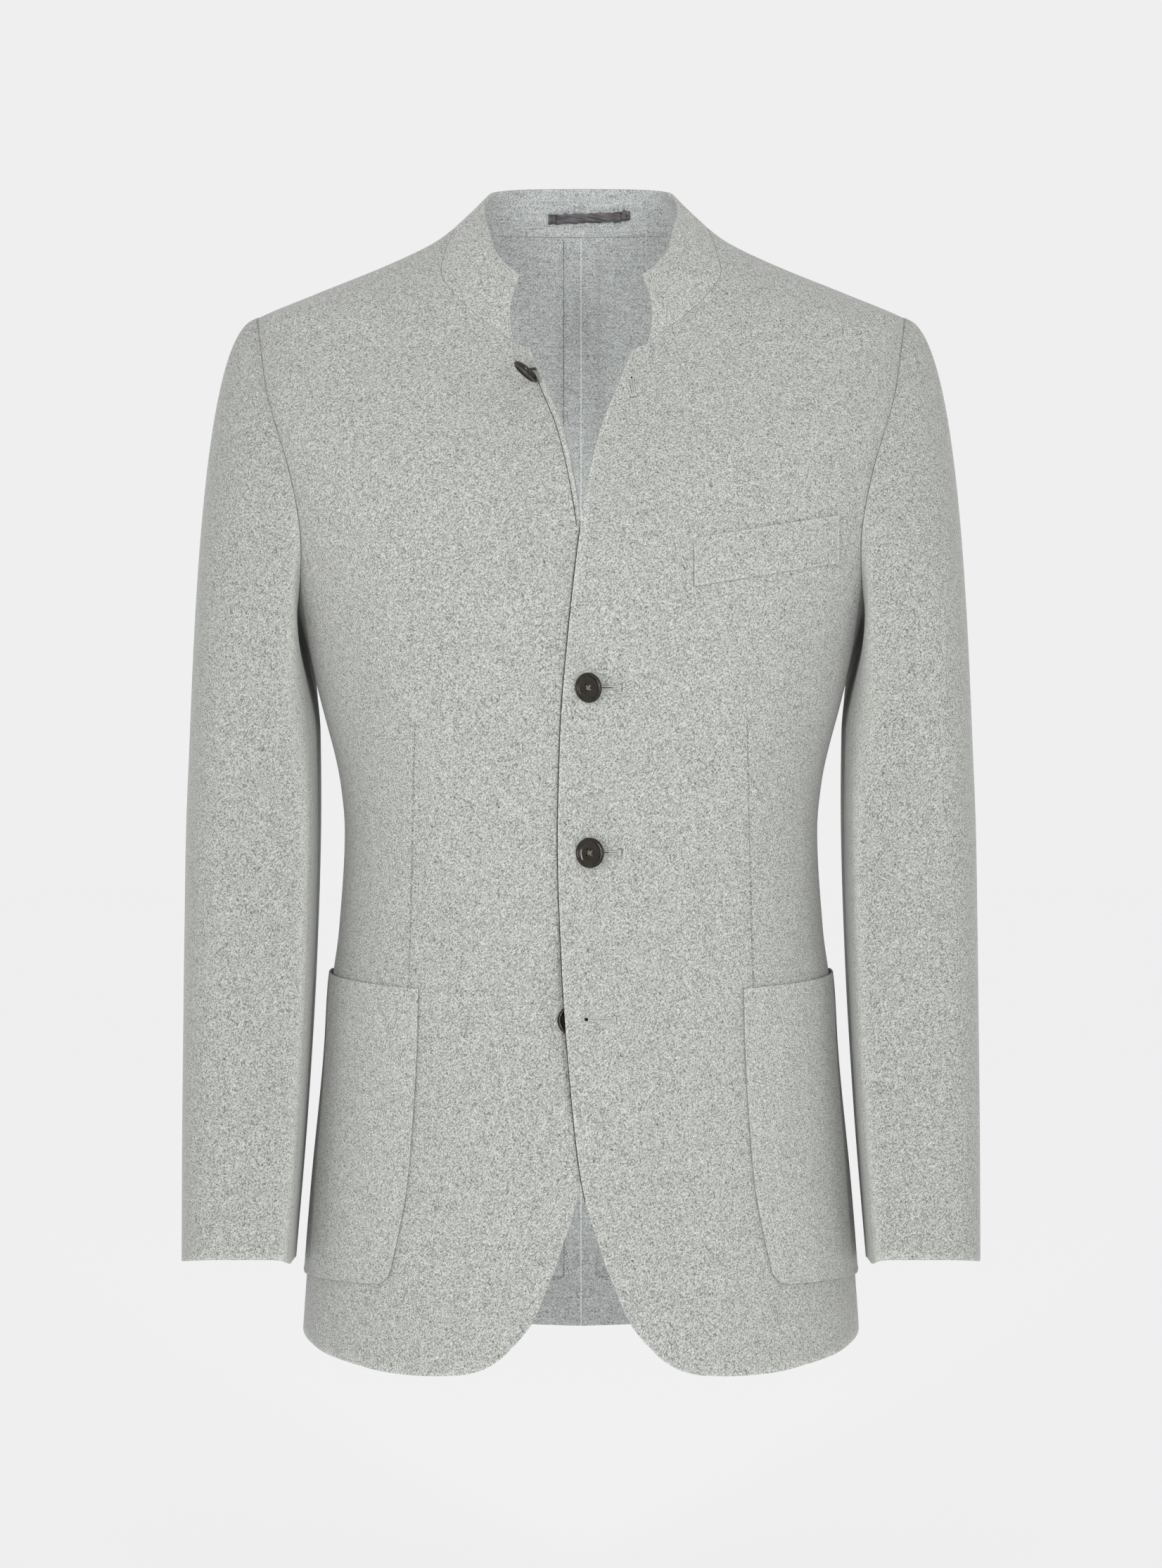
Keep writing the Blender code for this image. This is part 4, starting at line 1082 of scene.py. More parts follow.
# %% Cloth of the pockets and the welt
TRIM_CLOTH = 0.0015
POCKET_TURNS = (35.5, 96.0)
POCKET_BOTTOM = -0.711
POCKET_MOUTH = (-0.516, -0.507)
POCKET_CORNER = 0.010
POCKET_SLANT = 0.20
POCKET_SLANT_HEIGHT = 0.060
POCKET_SLANT_SOFT = 0.020
POCKET_TURN_SCALE = 0.150
POCKET_CLEAR = 0.0006
POCKET_GAPE = 0.0010
POCKET_GAPE_FROM = 0.75
POCKET_COLUMNS = 44
POCKET_FINE = 3
POCKET_ROWS = (0.0, 0.004, 0.012, 0.025, 0.045, 0.07, 0.10, 0.15, 0.26, 0.38, 0.50, 0.62, 0.74, 0.87, 1.0)
WELT_ENDS = (0.074, 0.170)
WELT_TOP = (-0.220, -0.203)
WELT_HEIGHT = 0.0315
WELT_CLEAR = 0.0006
WELT_COLUMNS = 32
WELT_ROWS = 10


def pocket_place(across, up):
    """Turn, level and clearance of the pocket at a share of its width and of its height."""
    mouth = POCKET_MOUTH[0] + (POCKET_MOUTH[1] - POCKET_MOUTH[0]) * across
    level = POCKET_BOTTOM + (mouth - POCKET_BOTTOM) * up
    height = (POCKET_MOUTH[0] - POCKET_BOTTOM) * up
    under = np.clip(POCKET_CORNER - height, 0.0, POCKET_CORNER)
    corner = POCKET_CORNER - np.sqrt(POCKET_CORNER**2 - under**2)
    below = POCKET_SLANT_HEIGHT - height
    slant = POCKET_SLANT * (below + np.hypot(below, POCKET_SLANT_SOFT)) / 2
    inset = (corner + slant) / POCKET_TURN_SCALE
    first, last = np.radians(POCKET_TURNS)
    turn = first + inset + across * (last - first - 2 * inset)
    return turn, level, POCKET_CLEAR + POCKET_GAPE * across * eased(POCKET_GAPE_FROM, 1.0, up)


def welt_place(across, down):
    """Turn and level of the welt at a share of its length and of its height."""
    own_x = WELT_ENDS[0] + (WELT_ENDS[1] - WELT_ENDS[0]) * across
    level = WELT_TOP[0] + (WELT_TOP[1] - WELT_TOP[0]) * across - WELT_HEIGHT * down
    return turn_at(own_x, level), level


ALL_EDGES = tuple(FOLDED)
for side in (LEFT, RIGHT):
    up = finer(POCKET_ROWS, POCKET_FINE)[:, None]
    across = np.linspace(0, 1, POCKET_COLUMNS + 1)[None]
    turn, level, clear = pocket_place(across, up)
    outward = facing(front_face, side, turn, level)
    inner = front_face(side, turn, level) + outward * clear[..., None]
    front = f"front_{SIDE_NAMES[side]}"
    node = f"patch_pocket_{SIDE_NAMES[side]}"
    cloth(node, inner + outward * TRIM_CLOTH, inner, (trim_wool, wrong_side), ALL_EDGES, "laid", [front])

across = np.linspace(0, 1, WELT_COLUMNS + 1)[None]
down = np.linspace(0, 1, WELT_ROWS + 1)[:, None]
turn, level = welt_place(across, down)
outward = facing(front_face, LEFT, turn, level)
inner = front_face(LEFT, turn, level) + outward * WELT_CLEAR
outer = inner + outward * TRIM_CLOTH
cloth("breast_welt", outer, inner, (front_wool, wrong_side), ALL_EDGES, "laid", ["front_left"])

# %% [markdown]
# ## Thread
#
# Stitches are short lengths of thread that come up out of the cloth and go down again. Hundreds of
# curve objects would be slow, so each line of stitches is one mesh: rings of points round every short
# centre line, worked out together as arrays.

# %% Lengths of thread
Sewing = namedtuple("Sewing", "pitch share radius finish")
STITCH_SHARES = np.array((0.0, 0.15, 0.5, 0.85, 1.0))
STITCH_LIFT = np.array((-0.6, 0.45, 0.75, 0.45, -0.6))
STITCH_TAPER = np.array((0.55, 0.95, 1.0, 0.95, 0.55))


def threads(name, centres, up, radius, finish, sides=6):
    """Short lengths of thread as one mesh; centres holds a line of points for each length."""
    centres = np.asarray(centres, float)
    along = unit(np.gradient(centres, axis=1))
    up = np.broadcast_to(np.asarray(up, float)[:, None], centres.shape)
    beside = unit(np.cross(along, up))
    above = np.cross(beside, along)
    angle = np.linspace(0, 2 * np.pi, sides, endpoint=False)[:, None]
    rings = np.cos(angle) * beside[:, :, None] + np.sin(angle) * above[:, :, None]
    radius = np.broadcast_to(radius, centres.shape[:2])[..., None, None]
    points = centres[:, :, None] + radius * rings
    index = np.arange(points.size // 3).reshape(points.shape[:3])
    after = np.roll(index, -1, axis=2)
    walls = np.stack((index[:, :-1], after[:, :-1], after[:, 1:], index[:, 1:]), axis=-1)
    caps = np.concatenate((index[:, 0, ::-1], index[:, -1]))
    faces = walls.reshape(-1, 4).tolist() + caps.tolist()
    return finished(name, points.reshape(-1, 3), faces, (finish,))


def stitches(name, path, outward, sewing, slot="wool"):
    """A line of stitches along a path on the cloth; a share of each pitch is thread."""
    run = run_along(path)
    length = sewing.pitch * sewing.share
    begin = np.arange(sewing.pitch / 2, run[-1] - length, sewing.pitch)
    at = begin[:, None] + length * STITCH_SHARES
    centres = np.stack([np.interp(at, run, path[:, axis]) for axis in range(3)], axis=-1)
    up = unit(np.stack([np.interp(begin, run, outward[:, axis]) for axis in range(3)], axis=-1))
    centres = centres + up[:, None] * (sewing.radius * STITCH_LIFT)[:, None]
    threads(name, centres, up, sewing.radius * STITCH_TAPER, sewing.finish)
    print(f"{name}: {len(begin)} stitches")


print("a stitch is a line of", len(STITCH_SHARES), "points")

# %% [markdown]
# ## Seams that show
#
# The pockets are sewn on by a fine line of stitches just inside their edges, with a second short line
# by the mouth where a hand pulls. The welt is stitched down at both ends. Each line only needs a path on
# a panel's face and a kind of sewing, so the same function makes them all.

# %% Lines of stitches
POCKET_STITCH_IN = 0.010
POCKET_STITCH_TOP = 0.99
POCKET_TACK_IN = 0.045
POCKET_TACK_FROM = 0.87
POCKET_SIDE_POINTS = 90
POCKET_FOOT_POINTS = 60
SHORT_POINTS = 12
POCKET_SEWING = Sewing(0.0032, 0.62, 0.00022, grey_thread)
WELT_SEWING = Sewing(0.0026, 0.62, 0.00022, grey_thread)
WELT_STITCH_PLACES = {"inner": 0.02, "outer": 0.98}
WELT_STITCH_REACH = (0.04, 0.96)


def pocket_stitches(name, side, across, up):
    """Stitches on a pocket, along shares of its width and of its height."""
    turn, level, clear = pocket_place(across, up)
    outward = facing(front_face, side, turn, level)
    path = front_face(side, turn, level) + outward * (clear + TRIM_CLOTH)[:, None]
    stitches(name, path, outward, POCKET_SEWING)


for side in (LEFT, RIGHT):
    name = SIDE_NAMES[side]
    low = POCKET_STITCH_IN
    high = 1 - POCKET_STITCH_IN
    down = np.linspace(POCKET_STITCH_TOP, low, POCKET_SIDE_POINTS)
    foot = np.linspace(low, high, POCKET_FOOT_POINTS)
    across = np.concatenate((np.full_like(down, low), foot, np.full_like(down, high)))
    up = np.concatenate((down, np.full_like(foot, low), down[::-1]))
    pocket_stitches(f"pocket_stitches_{name}", side, across, up)
    tack = np.linspace(POCKET_STITCH_TOP, POCKET_TACK_FROM, SHORT_POINTS)
    for edge, place in (("inner", POCKET_TACK_IN), ("outer", 1 - POCKET_TACK_IN)):
        pocket_stitches(f"pocket_tack_{name}_{edge}", side, np.full_like(tack, place), tack)

for edge, place in WELT_STITCH_PLACES.items():
    turn, level = welt_place(np.full(SHORT_POINTS, place), np.linspace(*WELT_STITCH_REACH, SHORT_POINTS))
    outward = facing(front_face, LEFT, turn, level)
    path = front_face(LEFT, turn, level) + outward * (WELT_CLEAR + TRIM_CLOTH)
    stitches(f"welt_stitches_{edge}", path, outward, WELT_SEWING)

# %% [markdown]
# ## Rows along the edges
#
# A dark row of thread lies under the edge that laps over, and another beside the rolled edge at the
# neck: both are painted shadow, for the shade along those edges. Inside, a pale thread closes the seam
# down the middle of the back, and the edges of the seam allowance and of the turned-up hem are
# overcast; the dark row on one allowance edge is also painted shadow, for the shade at that edge. A
# line painted in the material would be simpler, but thread also catches light and casts a small shadow.

# %% Rows at the front edges and inside the back
# The lap and roll rows are painted shadow: dark thread laid in the shade beside those edges.
LAP_LEVELS = (-0.655, -0.212)
LAP_BESIDE = 0.0003
LAP_SHADOW_ROW = Sewing(0.0016, 0.80, 0.00050, shadow_and_overcast_thread)
ROLL_LEVELS = (-0.212, -0.112)
ROLL_BESIDE = 0.0030
ROLL_SHADOW_ROW = Sewing(0.0016, 0.90, 0.00032, shadow_and_overcast_thread)
BACK_LEVELS = (HEM[-1].level + 0.004, NECK_LEVEL - 0.001)
BACK_SEWING = Sewing(0.0027, 0.94, 0.00042, pale_thread)
TURN_UP_TURNS = (np.radians(HEM_SIDE_SEAM) + 0.02, np.pi - 0.002)
TURN_UP_AND_SHADOW_SEWING = Sewing(0.0020, 0.85, 0.00022, shadow_and_overcast_thread)
# The dark row on the right allowance edge is painted shadow, for the shade at that edge; the left edge
# gets grey thread.
ALLOWANCE_THREAD_AND_SHADOW = {RIGHT: TURN_UP_AND_SHADOW_SEWING, LEFT: TURN_UP_AND_SHADOW_SEWING._replace(finish=grey_thread)}
LAP_POINTS = 200
ROLL_POINTS = 120
BACK_POINTS = 200
TURN_UP_POINTS = 160


def inside_back(side, turn, level, turned_in):
    """A path on the inner face of a back, where so much of its thickness is turned in."""
    inward = -facing(back_face, side, turn, level)
    return back_face(side, turn, level) + inward * (CLOTH + turned_in), inward


# Painted shadow under the edge that laps over.
level = np.linspace(*LAP_LEVELS, LAP_POINTS)
own_x = LAP_BESIDE - table_curve(FRONT_EDGE, "own_x", level)
stitches("lap_shadow_row", *on_front(RIGHT, own_x, level), LAP_SHADOW_ROW)

# Painted shadow beside the rolled edge at the neck.
level = np.linspace(*ROLL_LEVELS, ROLL_POINTS)
own_x = ROLL_BESIDE + table_curve(FRONT_EDGE, "own_x", level)
stitches("roll_shadow_row", *on_front(RIGHT, own_x, level), ROLL_SHADOW_ROW)

level = np.linspace(*BACK_LEVELS, BACK_POINTS)
middle = np.full_like(level, np.pi)
stitches("back_seam_stitches", *inside_back(LEFT, middle, level, TURNED_IN), BACK_SEWING)

around = np.linspace(*TURN_UP_TURNS, TURN_UP_POINTS)
for side, sewing in ALLOWANCE_THREAD_AND_SHADOW.items():
    name = SIDE_NAMES[side]
    beside = np.pi - turn_at(ALLOWANCE, level)
    stitches(f"allowance_stitches_and_shadow_{name}", *inside_back(side, beside, level, TURNED_IN / 2), sewing)
    turned_up = inside_back(side, around, hem(around) + TURN_UP, TURNED_IN / 2)
    stitches(f"turn_up_stitches_{name}", *turned_up, TURN_UP_AND_SHADOW_SEWING)

# %% [markdown]
# ## The hanger loop
#
# A short dark ribbon is sewn inside the back of the collar to hang the jacket by. It follows the
# collar's inner points and stands off a little between its sewn ends. Its cut edges are uneven, so a
# slow wave and a few loose ends shift its edge points.

# %% Cloth of the hanger loop
LOOP_ENDS = (-0.0225, 0.0340)
LOOP_MIDDLES = (0.375, 0.450)
LOOP_HALF = 0.100
LOOP_CLOTH = 0.0010
LOOP_SLACK = 0.0014
LOOP_FOLDS = ((0.085, 0.100), (0.885, 0.900))
LOOP_COLUMNS = 120
LOOP_ROWS = 8
LOOP_WAVE = 0.014
Wave = namedtuple("Wave", "height bends shift")
LOOP_WAVES = (Wave(1.0, 23, 0), Wave(0.7, 61, 1))
Snag = namedtuple("Snag", "place reach at_top")
LOOP_SNAGS = (Snag(0.205, 0.045, True), Snag(0.815, 0.035, False), Snag(0.925, 0.030, True))
LOOP_SNAG_WIDTH = 0.012
LOOP_TURNED_UNDER = 0.0025
LOOP_END_PLACES = {"right": 0.045, "left": 0.955}
LOOP_END_SEWING = Sewing(0.0016, 0.8, 0.00025, dark_thread_and_slit_shade)
LOOP_EDGE_SEWING = Sewing(0.0018, 0.7, 0.00022, dark_thread_and_slit_shade)


def loop_point(x, height):
    """Point inside the collar at a place across and a share of its height, and the inward direction."""
    rows = height * COLLAR_ROWS
    low = np.clip(rows.astype(int), 0, COLLAR_ROWS - 1)
    share = (rows - low)[:, None]
    point = np.empty((len(x), 3))
    away = np.empty((len(x), 3))
    for spot in range(len(x)):
        line = collar_inner[low[spot]] * (1 - share[spot]) + collar_inner[low[spot] + 1] * share[spot]
        lean = collar_inward[low[spot]] * (1 - share[spot]) + collar_inward[low[spot] + 1] * share[spot]
        point[spot] = [np.interp(x[spot], line[:, 0], line[:, axis]) for axis in range(3)]
        away[spot] = [np.interp(x[spot], line[:, 0], lean[:, axis]) for axis in range(3)]
    return point, away


x = np.linspace(*LOOP_ENDS, LOOP_COLUMNS + 1)
share = (x - x[0]) / (x[-1] - x[0])
raised = eased(*LOOP_FOLDS[0], share) * (1 - eased(*LOOP_FOLDS[1], share))
slack = SEAM_GAP + LOOP_SLACK * raised
middle = LOOP_MIDDLES[0] + (LOOP_MIDDLES[1] - LOOP_MIDDLES[0]) * share
near = np.empty((LOOP_ROWS + 1, len(x), 3))
away = np.empty_like(near)
for row in range(LOOP_ROWS + 1):
    up = row / LOOP_ROWS
    waves = sum(wave.height * np.sin(wave.bends * share + wave.shift) for wave in LOOP_WAVES)
    ragged = LOOP_WAVE * (up - 0.5) * waves
    for snag in LOOP_SNAGS:
        pulled = snag.reach * np.exp(-(((share - snag.place) / LOOP_SNAG_WIDTH) ** 2))
        outwards = np.clip(2 * up - 1, 0, 1) if snag.at_top else -np.clip(1 - 2 * up, 0, 1)
        ragged = ragged + pulled * outwards
    point, away[row] = loop_point(x, middle + LOOP_HALF * (2 * up - 1) + ragged)
    near[row] = point + away[row] * slack[:, None]
top_of_loop = near + LOOP_CLOTH * away
walls = (near, top_of_loop)
cloth("hanger_loop", *walls, (ribbon,), ALL_EDGES, "stretched", ["collar"], "ribbon", LOOP_TURNED_UNDER)
for end, place in LOOP_END_PLACES.items():
    spot = round(place * LOOP_COLUMNS)
    stitches(f"loop_stitches_{end}", top_of_loop[:, spot], away[:, spot], LOOP_END_SEWING, "ribbon")
stitches("loop_stitches_edge", top_of_loop[1], away[1], LOOP_EDGE_SEWING, "ribbon")

# %% [markdown]
# ## Herringbone stitches inside the collar
#
# A stand collar is held flat by rows of small slanting hand stitches on its inner side. Each is a pale
# dash, and every second one leans the other way. They are placed like the loop, by how far across and
# how far up the collar they lie, so they stay on the cloth.

# %% Herringbone inside the collar
ZigzagRow = namedtuple("ZigzagRow", "height reach")
ZIGZAG_ROWS = (ZigzagRow(0.775, 0.054), ZigzagRow(0.135, 0.040))
ZIGZAG_PITCH = 0.00135
ZIGZAG_HALF = (0.00045, 0.016)
ZIGZAG_RADIUS = 0.00022
ZIGZAG_SHARES = (-1.0, -0.4, 0.4, 1.0)
ZIGZAG_LIFT = (-0.3, 0.7, 0.7, -0.3)

for number, row in enumerate(ZIGZAG_ROWS):
    x = np.arange(-row.reach, row.reach, ZIGZAG_PITCH)
    lean = np.where(np.arange(len(x)) % 2, 1.0, -1.0)
    ends = []
    for share, lift in zip(ZIGZAG_SHARES, ZIGZAG_LIFT):
        height = row.height + share * lean * ZIGZAG_HALF[1]
        point, away = loop_point(x + share * ZIGZAG_HALF[0], height)
        ends.append(point + away * lift * ZIGZAG_RADIUS)
    threads(f"herringbone_{number}", np.stack(ends, axis=1), away, ZIGZAG_RADIUS, collar_thread)
    print(f"herringbone_{number}: {len(x)} stitches")

# %% [markdown]
# ## Buttons
#
# The buttons are turned discs with a raised rim, a dished middle and four holes. A Spin makes the disc
# from half a profile, and a Boolean drills the holes, because real holes look right from every side.

# %% A drilled horn button
ProfileRow = namedtuple("ProfileRow", "radius height")
BUTTON_PROFILE = [
    ProfileRow(0.0, 0.0),
    ProfileRow(0.0070, 0.0),
    ProfileRow(0.0086, 0.0003),
    ProfileRow(0.0095, 0.0010),
    ProfileRow(0.0100, 0.0018),
    ProfileRow(0.0099, 0.0025),
    ProfileRow(0.0095, 0.0031),
    ProfileRow(0.0090, 0.0034),
    ProfileRow(0.0084, 0.0035),
    ProfileRow(0.0079, 0.0032),
    ProfileRow(0.0075, 0.0027),
    ProfileRow(0.0068, 0.0024),
    ProfileRow(0.0045, 0.0021),
    ProfileRow(0.0, 0.0020),
]
BUTTON_SIDES = 72
HOLE_RADIUS = 0.00105
HOLE_OUT = 0.0021
HOLE_TURN = np.radians(12)
DRILL_LENGTH = 0.010
DRILL_MIDDLE = 0.002
DRILL_SIDES = 16
SHARP_FROM = np.radians(40)


def turned(profile, sides):
    """A mesh turned from half a profile."""
    work = bmesh.new()
    verts = [work.verts.new((point.radius, 0.0, point.height)) for point in profile]
    edges = [work.edges.new(pair) for pair in zip(verts[:-1], verts[1:])]
    bmesh.ops.spin(work, geom=verts + edges, cent=(0, 0, 0), axis=(0, 0, 1), angle=2 * np.pi, steps=sides)
    bmesh.ops.remove_doubles(work, verts=work.verts, dist=1e-6)
    bmesh.ops.recalc_face_normals(work, faces=work.faces)
    mesh = bpy.data.meshes.new("turned")
    work.to_mesh(mesh)
    work.free()
    return mesh


def drilled_button():
    """The disc with four holes drilled through it."""
    disc = bpy.data.objects.new("disc", turned(BUTTON_PROFILE, BUTTON_SIDES))
    work = bmesh.new()
    for quarter in range(4):
        angle = HOLE_TURN + quarter * np.pi / 2
        rod = {"radius1": HOLE_RADIUS, "radius2": HOLE_RADIUS, "depth": DRILL_LENGTH}
        made = bmesh.ops.create_cone(work, cap_ends=True, segments=DRILL_SIDES, **rod)
        middle = Vector((HOLE_OUT * np.cos(angle), HOLE_OUT * np.sin(angle), DRILL_MIDDLE))
        bmesh.ops.translate(work, verts=made["verts"], vec=middle)
    drill_mesh = bpy.data.meshes.new("drill")
    work.to_mesh(drill_mesh)
    work.free()
    drill = bpy.data.objects.new("drill", drill_mesh)
    for thing in (disc, drill):
        bpy.context.collection.objects.link(thing)
    cut = disc.modifiers.new("holes", "BOOLEAN")
    cut.object = drill
    cut.operation = "DIFFERENCE"
    bpy.context.view_layer.update()
    mesh = bpy.data.meshes.new_from_object(disc.evaluated_get(bpy.context.evaluated_depsgraph_get()))
    for thing in (disc, drill):
        bpy.data.objects.remove(thing)
    return mesh


button_mesh = drilled_button()
button_mesh.shade_smooth()
button_mesh.set_sharp_from_angle(angle=SHARP_FROM)
button_mesh.materials.clear()
button_mesh.materials.append(horn)
print("button:", len(button_mesh.polygons), "faces")

# %% [markdown]
# ## Sewing the buttons on
#
# The thread crosses between the four holes. Three buttons stand off the cloth on a wound stem of thread:
# the top one hangs loose at the rolled edge, and the two fastened ones tilt a little in their holes. The
# stem is a coil, because a plain rod would look like a pin.

# %% Thread of the buttons
BUTTON_CLEAR = 0.0009
THREAD_RADIUS = 0.00028
THREAD_APART = 1.6 * THREAD_RADIUS
THREAD_CROSS = 0.0002
THREAD_SHARES = np.array((-1.0, -0.9, -0.4, 0.4, 0.9, 1.0))
THREAD_HEIGHTS = np.array((0.0008, 0.0021, 0.0025, 0.0025, 0.0021, 0.0008))
STEM_COIL = 0.0009
STEM_TURNS = 11
STEM_STEPS = 12


def crossed_threads():
    """Centre lines of the thread that crosses between the holes."""
    lines = []
    for quarter in range(2):
        angle = HOLE_TURN + quarter * np.pi / 2
        along = np.array((np.cos(angle), np.sin(angle), 0.0))
        beside = np.array((-along[1], along[0], 0.0))
        for strand in (-1, 0, 1):
            line = THREAD_SHARES[:, None] * along * HOLE_OUT + strand * THREAD_APART * beside
            line[:, 2] = THREAD_HEIGHTS + THREAD_CROSS * quarter
            lines.append(line)
    return np.array(lines)


def wound_stem(foot):
    """Centre line of the thread that is wound from the button's back to its foot on the cloth."""
    share = np.linspace(0, 1, STEM_TURNS * STEM_STEPS + 1)[:, None]
    angle = share * 2 * np.pi * STEM_TURNS
    line = share * foot
    line[:, :1] += STEM_COIL * np.cos(angle)
    line[:, 1:2] += STEM_COIL * np.sin(angle)
    return line[None]


for row in BUTTONS:
    seat, outward = on_front(row.side, row.own_x, row.level)
    axis = Vector(outward)
    place = Vector(seat) + axis * BUTTON_CLEAR
    if row.hang:
        axis = Vector(np.array(row.lean) * (row.side, 1, 1)).normalized()
        place = Vector(seat + np.array(row.hang) * (row.side, 1, 1))
    turn_to = Vector((0, 0, 1)).rotation_difference(axis).to_matrix().to_4x4()
    turn_to.translation = place
    mesh = button_mesh.copy()
    mesh.transform(turn_to)
    piece = bpy.data.objects.new(f"horn_{row.node}", mesh)
    bpy.context.collection.objects.link(piece)
    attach(piece, "root")
    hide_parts(row.node)
    lines = crossed_threads()
    up = np.tile((0.0, 0.0, 1.0), (len(lines), 1))
    sewn = threads(f"thread_{row.node}", lines, up, THREAD_RADIUS, brown_thread)
    sewn.data.transform(turn_to)
    if row.hang:
        foot = np.array(turn_to.inverted() @ Vector(seat))
        stem = threads(f"stem_{row.node}", wound_stem(foot), up[:1], THREAD_RADIUS, dark_thread_and_slit_shade)
        stem.data.transform(turn_to)
print("buttons sewn on:", len(BUTTONS))

# %% [markdown]
# ## Buttonholes
#
# A tailored buttonhole is a slit with a round eyelet at the end by the edge, both worked over with close
# purl stitches, and a short bar at the other end. Each purl is one short length of thread across the
# edge of the slit. A thin dark line runs round the outside of the purls: painted shadow, for the shade
# that the raised purls cast. The slit, where a button holds it open, and the eyelet are dark lengths
# laid flush: painted shade for the gap and the hole. Cutting the cloth would show no more.

# %% Worked buttonholes
Hole = namedtuple("Hole", "name eyelet bar eye_radius open_to")
HOLES = [
    Hole("neck", (0.0335, -0.1115), (0.0350, -0.1225), 0.0008, 0.0),
    Hole("chest", (0.0030, -0.318), (0.0245, -0.318), 0.0012, 0.80),
    Hole("waist", (0.0030, -0.426), (0.0245, -0.426), 0.0012, 0.68),
    Hole("hip", (0.0035, -0.535), (0.0210, -0.535), 0.0016, 0.0),
]
PURL_PITCH = 0.00055
PURL_RADIUS = 0.00026
PURL_REACH = 0.0012
SLIT_HALF = 0.00022
SLIT_RADIUS = 0.00034
BAR_HALF = 0.0024
BAR_LENGTH = 0.0024
BAR_STRANDS = 4
PURL_SHADOW_RADIUS = 0.00020
PURL_SHARES = np.array((0.0, 0.25, 0.7, 1.0))
PURL_LIFT = np.array((0.2, 1.0, 0.8, -0.4)) * PURL_RADIUS
EYE_ANGLES = np.radians(np.arange(40, 321, 22))
EYE_SHARE = 0.7
EYE_DEPTHS = np.linspace(-0.0002, 0.0002, 3)
EYE_SIDES = 12
SLIT_POINTS = 12
# The eyelet is painted shade: a near-black plug, flush with the cloth, for the shade inside the hole.
EYE_SHADE = (0.012, 0.011, 0.010, 1.0)
eyelet_shade, _, _ = blank("eyelet_shade", base_color=EYE_SHADE, roughness=1.0, specular_ior_level=0.0)


def work_hole(hole):
    """Purl stitches and bar of one buttonhole on the left front, with painted shade round the purls, in
    the open slit and in the eyelet.
    """
    eyelet = np.array(hole.eyelet)
    along = np.array(hole.bar) - eyelet
    length = np.linalg.norm(along)
    along = along / length
    beside = np.array((-along[1], along[0]))
    steps = np.arange(hole.eye_radius, length, PURL_PITCH)
    feet = []
    for way in (1, -1):
        foot = eyelet + steps[:, None] * along + way * SLIT_HALF * beside
        feet.append((foot, np.tile(way * beside, (len(steps), 1))))
    ray = np.cos(EYE_ANGLES)[:, None] * along + np.sin(EYE_ANGLES)[:, None] * beside
    feet.append((eyelet + ray * hole.eye_radius, ray))
    foot = np.concatenate([pair[0] for pair in feet])
    ray = np.concatenate([pair[1] for pair in feet])
    flat = foot[:, None] + ray[:, None] * (PURL_SHARES * PURL_REACH)[:, None]
    bar_steps = length + np.arange(BAR_STRANDS) * PURL_PITCH
    upward = np.linspace(-BAR_HALF, BAR_HALF, len(PURL_SHARES))[:, None] * beside
    flat = np.concatenate((flat, eyelet + bar_steps[:, None, None] * along + upward))
    points, outward = on_front(LEFT, flat[..., 0], flat[..., 1])
    lines = points + outward * PURL_LIFT[:, None]
    threads(f"buttonhole_{hole.name}", lines, outward[:, 1], PURL_RADIUS, wool_thread)
    # Painted shadow: a thin dark line round the outside of the purls stands for the shade they cast.
    foot = SLIT_HALF + PURL_REACH
    end = length + BAR_LENGTH
    corners = ((hole.eye_radius, foot), (length, foot), (length, BAR_HALF), (end, BAR_HALF))
    corners = np.array(corners + tuple((far, -out) for far, out in reversed(corners)))
    purl_shadow_outline = eyelet + corners[:, :1] * along + corners[:, 1:] * beside
    points, outward = on_front(LEFT, purl_shadow_outline[:, 0], purl_shadow_outline[:, 1])
    threads(f"gimp_{hole.name}", points[None], outward[:1], PURL_SHADOW_RADIUS, shadow_and_overcast_thread)
    # Painted shade: a dark length of thread laid in the open slit stands for the shade in the gap.
    if hole.open_to:
        slit = eyelet + np.linspace(0, length * hole.open_to, SLIT_POINTS)[:, None] * along
        points, outward = on_front(LEFT, slit[:, 0], slit[:, 1])
        points = points + outward * PURL_RADIUS
        threads(f"slit_{hole.name}", points[None], outward[:1], SLIT_RADIUS, dark_thread_and_slit_shade)
    point, outward = on_front(LEFT, *hole.eyelet)
    eye = point + outward * EYE_DEPTHS[:, None]
    sideways = np.array(((1.0, 0.0, 0.0),))
    radius = hole.eye_radius * EYE_SHARE
    threads(f"eyelet_{hole.name}", eye[None], sideways, radius, eyelet_shade, sides=EYE_SIDES)
    return len(lines)


for hole in HOLES:
    print(f"buttonhole_{hole.name}: {work_hole(hole)} purls")

# %% [markdown]
# ## Studio
#
# The jacket is shown filled out before an even pale ground, which is a bright even sky. The floor lies
# well below the hem. Its colour is a little darker near the jacket, where the lamps add light, so that
# it looks as pale as the ground and no line shows. A curved backdrop would shade along its bend.

# %% Ground and floor
GROUND = 0.863
FLOOR_LEVEL = -1.05
FLOOR_HALF = 30.0
FLOOR_FADE_FROM = 1.0
FLOOR_NEAR_SHADE = (0.966, 0.966, 0.966)
FLOOR_FAR_SHADE = (1.0, 1.0, 1.0)

scene = bpy.context.scene
scene.view_settings.view_transform = "Standard"
scene.world = bpy.data.worlds.new("studio")
scene.world.use_nodes = True
sky = scene.world.node_tree.nodes["Background"].inputs
sky["Color"].default_value = (GROUND, GROUND, GROUND, 1.0)

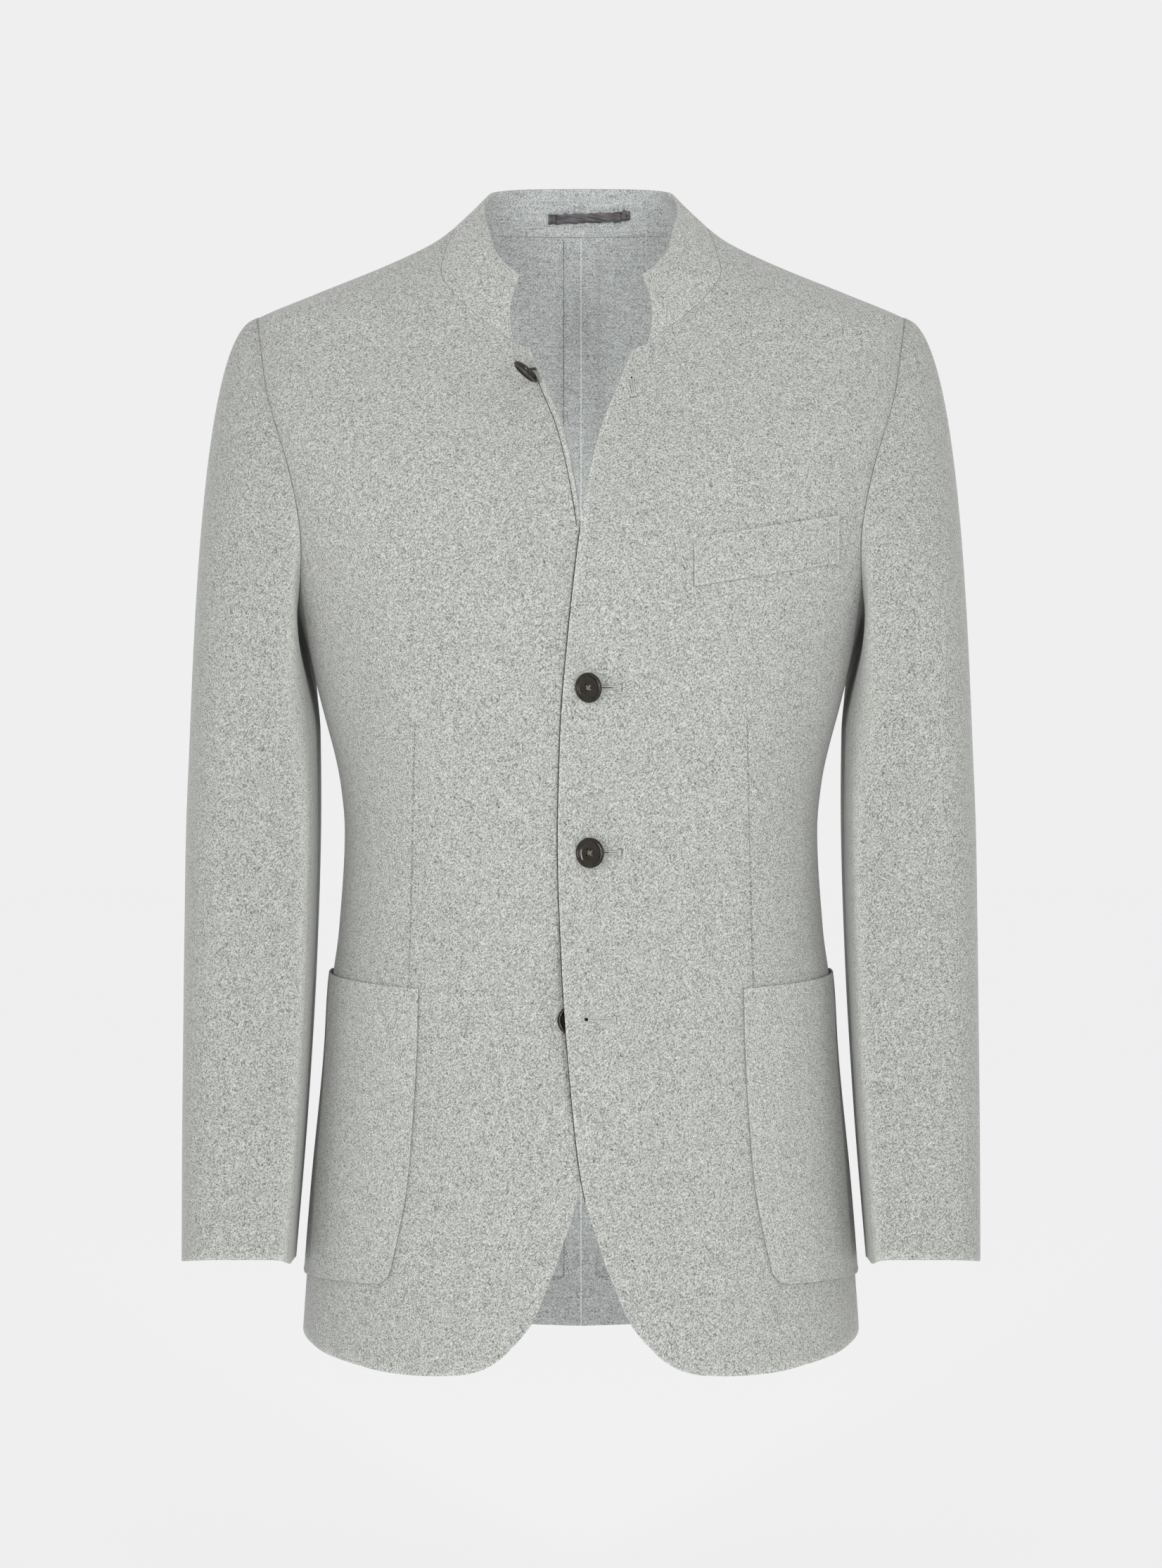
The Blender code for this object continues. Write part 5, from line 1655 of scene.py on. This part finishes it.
floor_mesh = bpy.data.meshes.new("floor")
around = ((-1, -1), (1, -1), (1, 1), (-1, 1))
corners = [(x * FLOOR_HALF, y * FLOOR_HALF, FLOOR_LEVEL) for x, y in around]
floor_mesh.from_pydata(corners, [], [(0, 1, 2, 3)])
floor = bpy.data.objects.new("floor", floor_mesh)
bpy.context.collection.objects.link(floor)
pale_floor, start, sockets = blank("pale_floor", roughness=1.0)
behind = start.maths("MAXIMUM", in_object(start).axis("Y"), FLOOR_FADE_FROM)
far = 1 - FLOOR_FADE_FROM * behind**-1
start.feed(sockets["Base Color"], far.mix(FLOOR_NEAR_SHADE, FLOOR_FAR_SHADE))
floor_mesh.materials.append(pale_floor)
print("floor lies", -FLOOR_LEVEL, "m below the shoulders")

# %% [markdown]
# ## Lamps
#
# Two tall strip lamps before the shoulders add to the flat light and draw the bright lines on the
# buttons' rims. A weak panel inside the body stands in for the light that a photographer bounces into
# the neck. The lamps themselves stay out of the picture.

# %% Lamps
STRIP_PLACES = ((-1.1, -3.0, -0.25), (1.1, -3.0, -0.25))
STRIP_SIZE = (0.14, 1.7)
STRIP_POWER = 30.0
INSIDE_PLACE = (0.0, -0.045, -0.40)
INSIDE_SIZE = (0.16, 0.54)
INSIDE_POWER = 0.86
INSIDE_AIM = Vector((0.0, 1.0, 0.0))
AIM = Vector((0.0, 0.0, -0.38))


def panel_lamp(name, place, size, power, aim):
    """A flat soft lamp at a place, turned towards its aim."""
    data = bpy.data.lights.new(name, "AREA")
    data.shape = "RECTANGLE"
    data.size, data.size_y = size
    data.energy = power
    lamp = bpy.data.objects.new(name, data)
    lamp.location = place
    lamp.rotation_euler = (aim - Vector(place)).to_track_quat("-Z", "Y").to_euler()
    lamp.visible_camera = False
    bpy.context.collection.objects.link(lamp)


for name, place in zip(("strip_right", "strip_left"), STRIP_PLACES):
    panel_lamp(name, place, STRIP_SIZE, STRIP_POWER, AIM)
panel_lamp("inside_lamp", INSIDE_PLACE, INSIDE_SIZE, INSIDE_POWER, Vector(INSIDE_PLACE) + INSIDE_AIM)

print("lamps:", len(STRIP_PLACES), "strips and one panel inside")

# %% [markdown]
# ## Camera
#
# A long lens far from the jacket, level with its middle, keeps the shoulders and the hem square. A short
# lens close by would swell the chest.

# %% Camera
LENS = 121.6
CAMERA_BACK = 3.6
CAMERA_LEVEL = -0.381

camera_data = bpy.data.cameras.new("camera")
camera_data.lens = LENS
camera = bpy.data.objects.new("camera", camera_data)
camera.location = (0.0, -CAMERA_BACK, CAMERA_LEVEL)
camera.rotation_euler = (np.pi / 2, 0.0, 0.0)
bpy.context.collection.objects.link(camera)
scene.camera = camera
print("camera at", [round(value, 3) for value in camera.location])
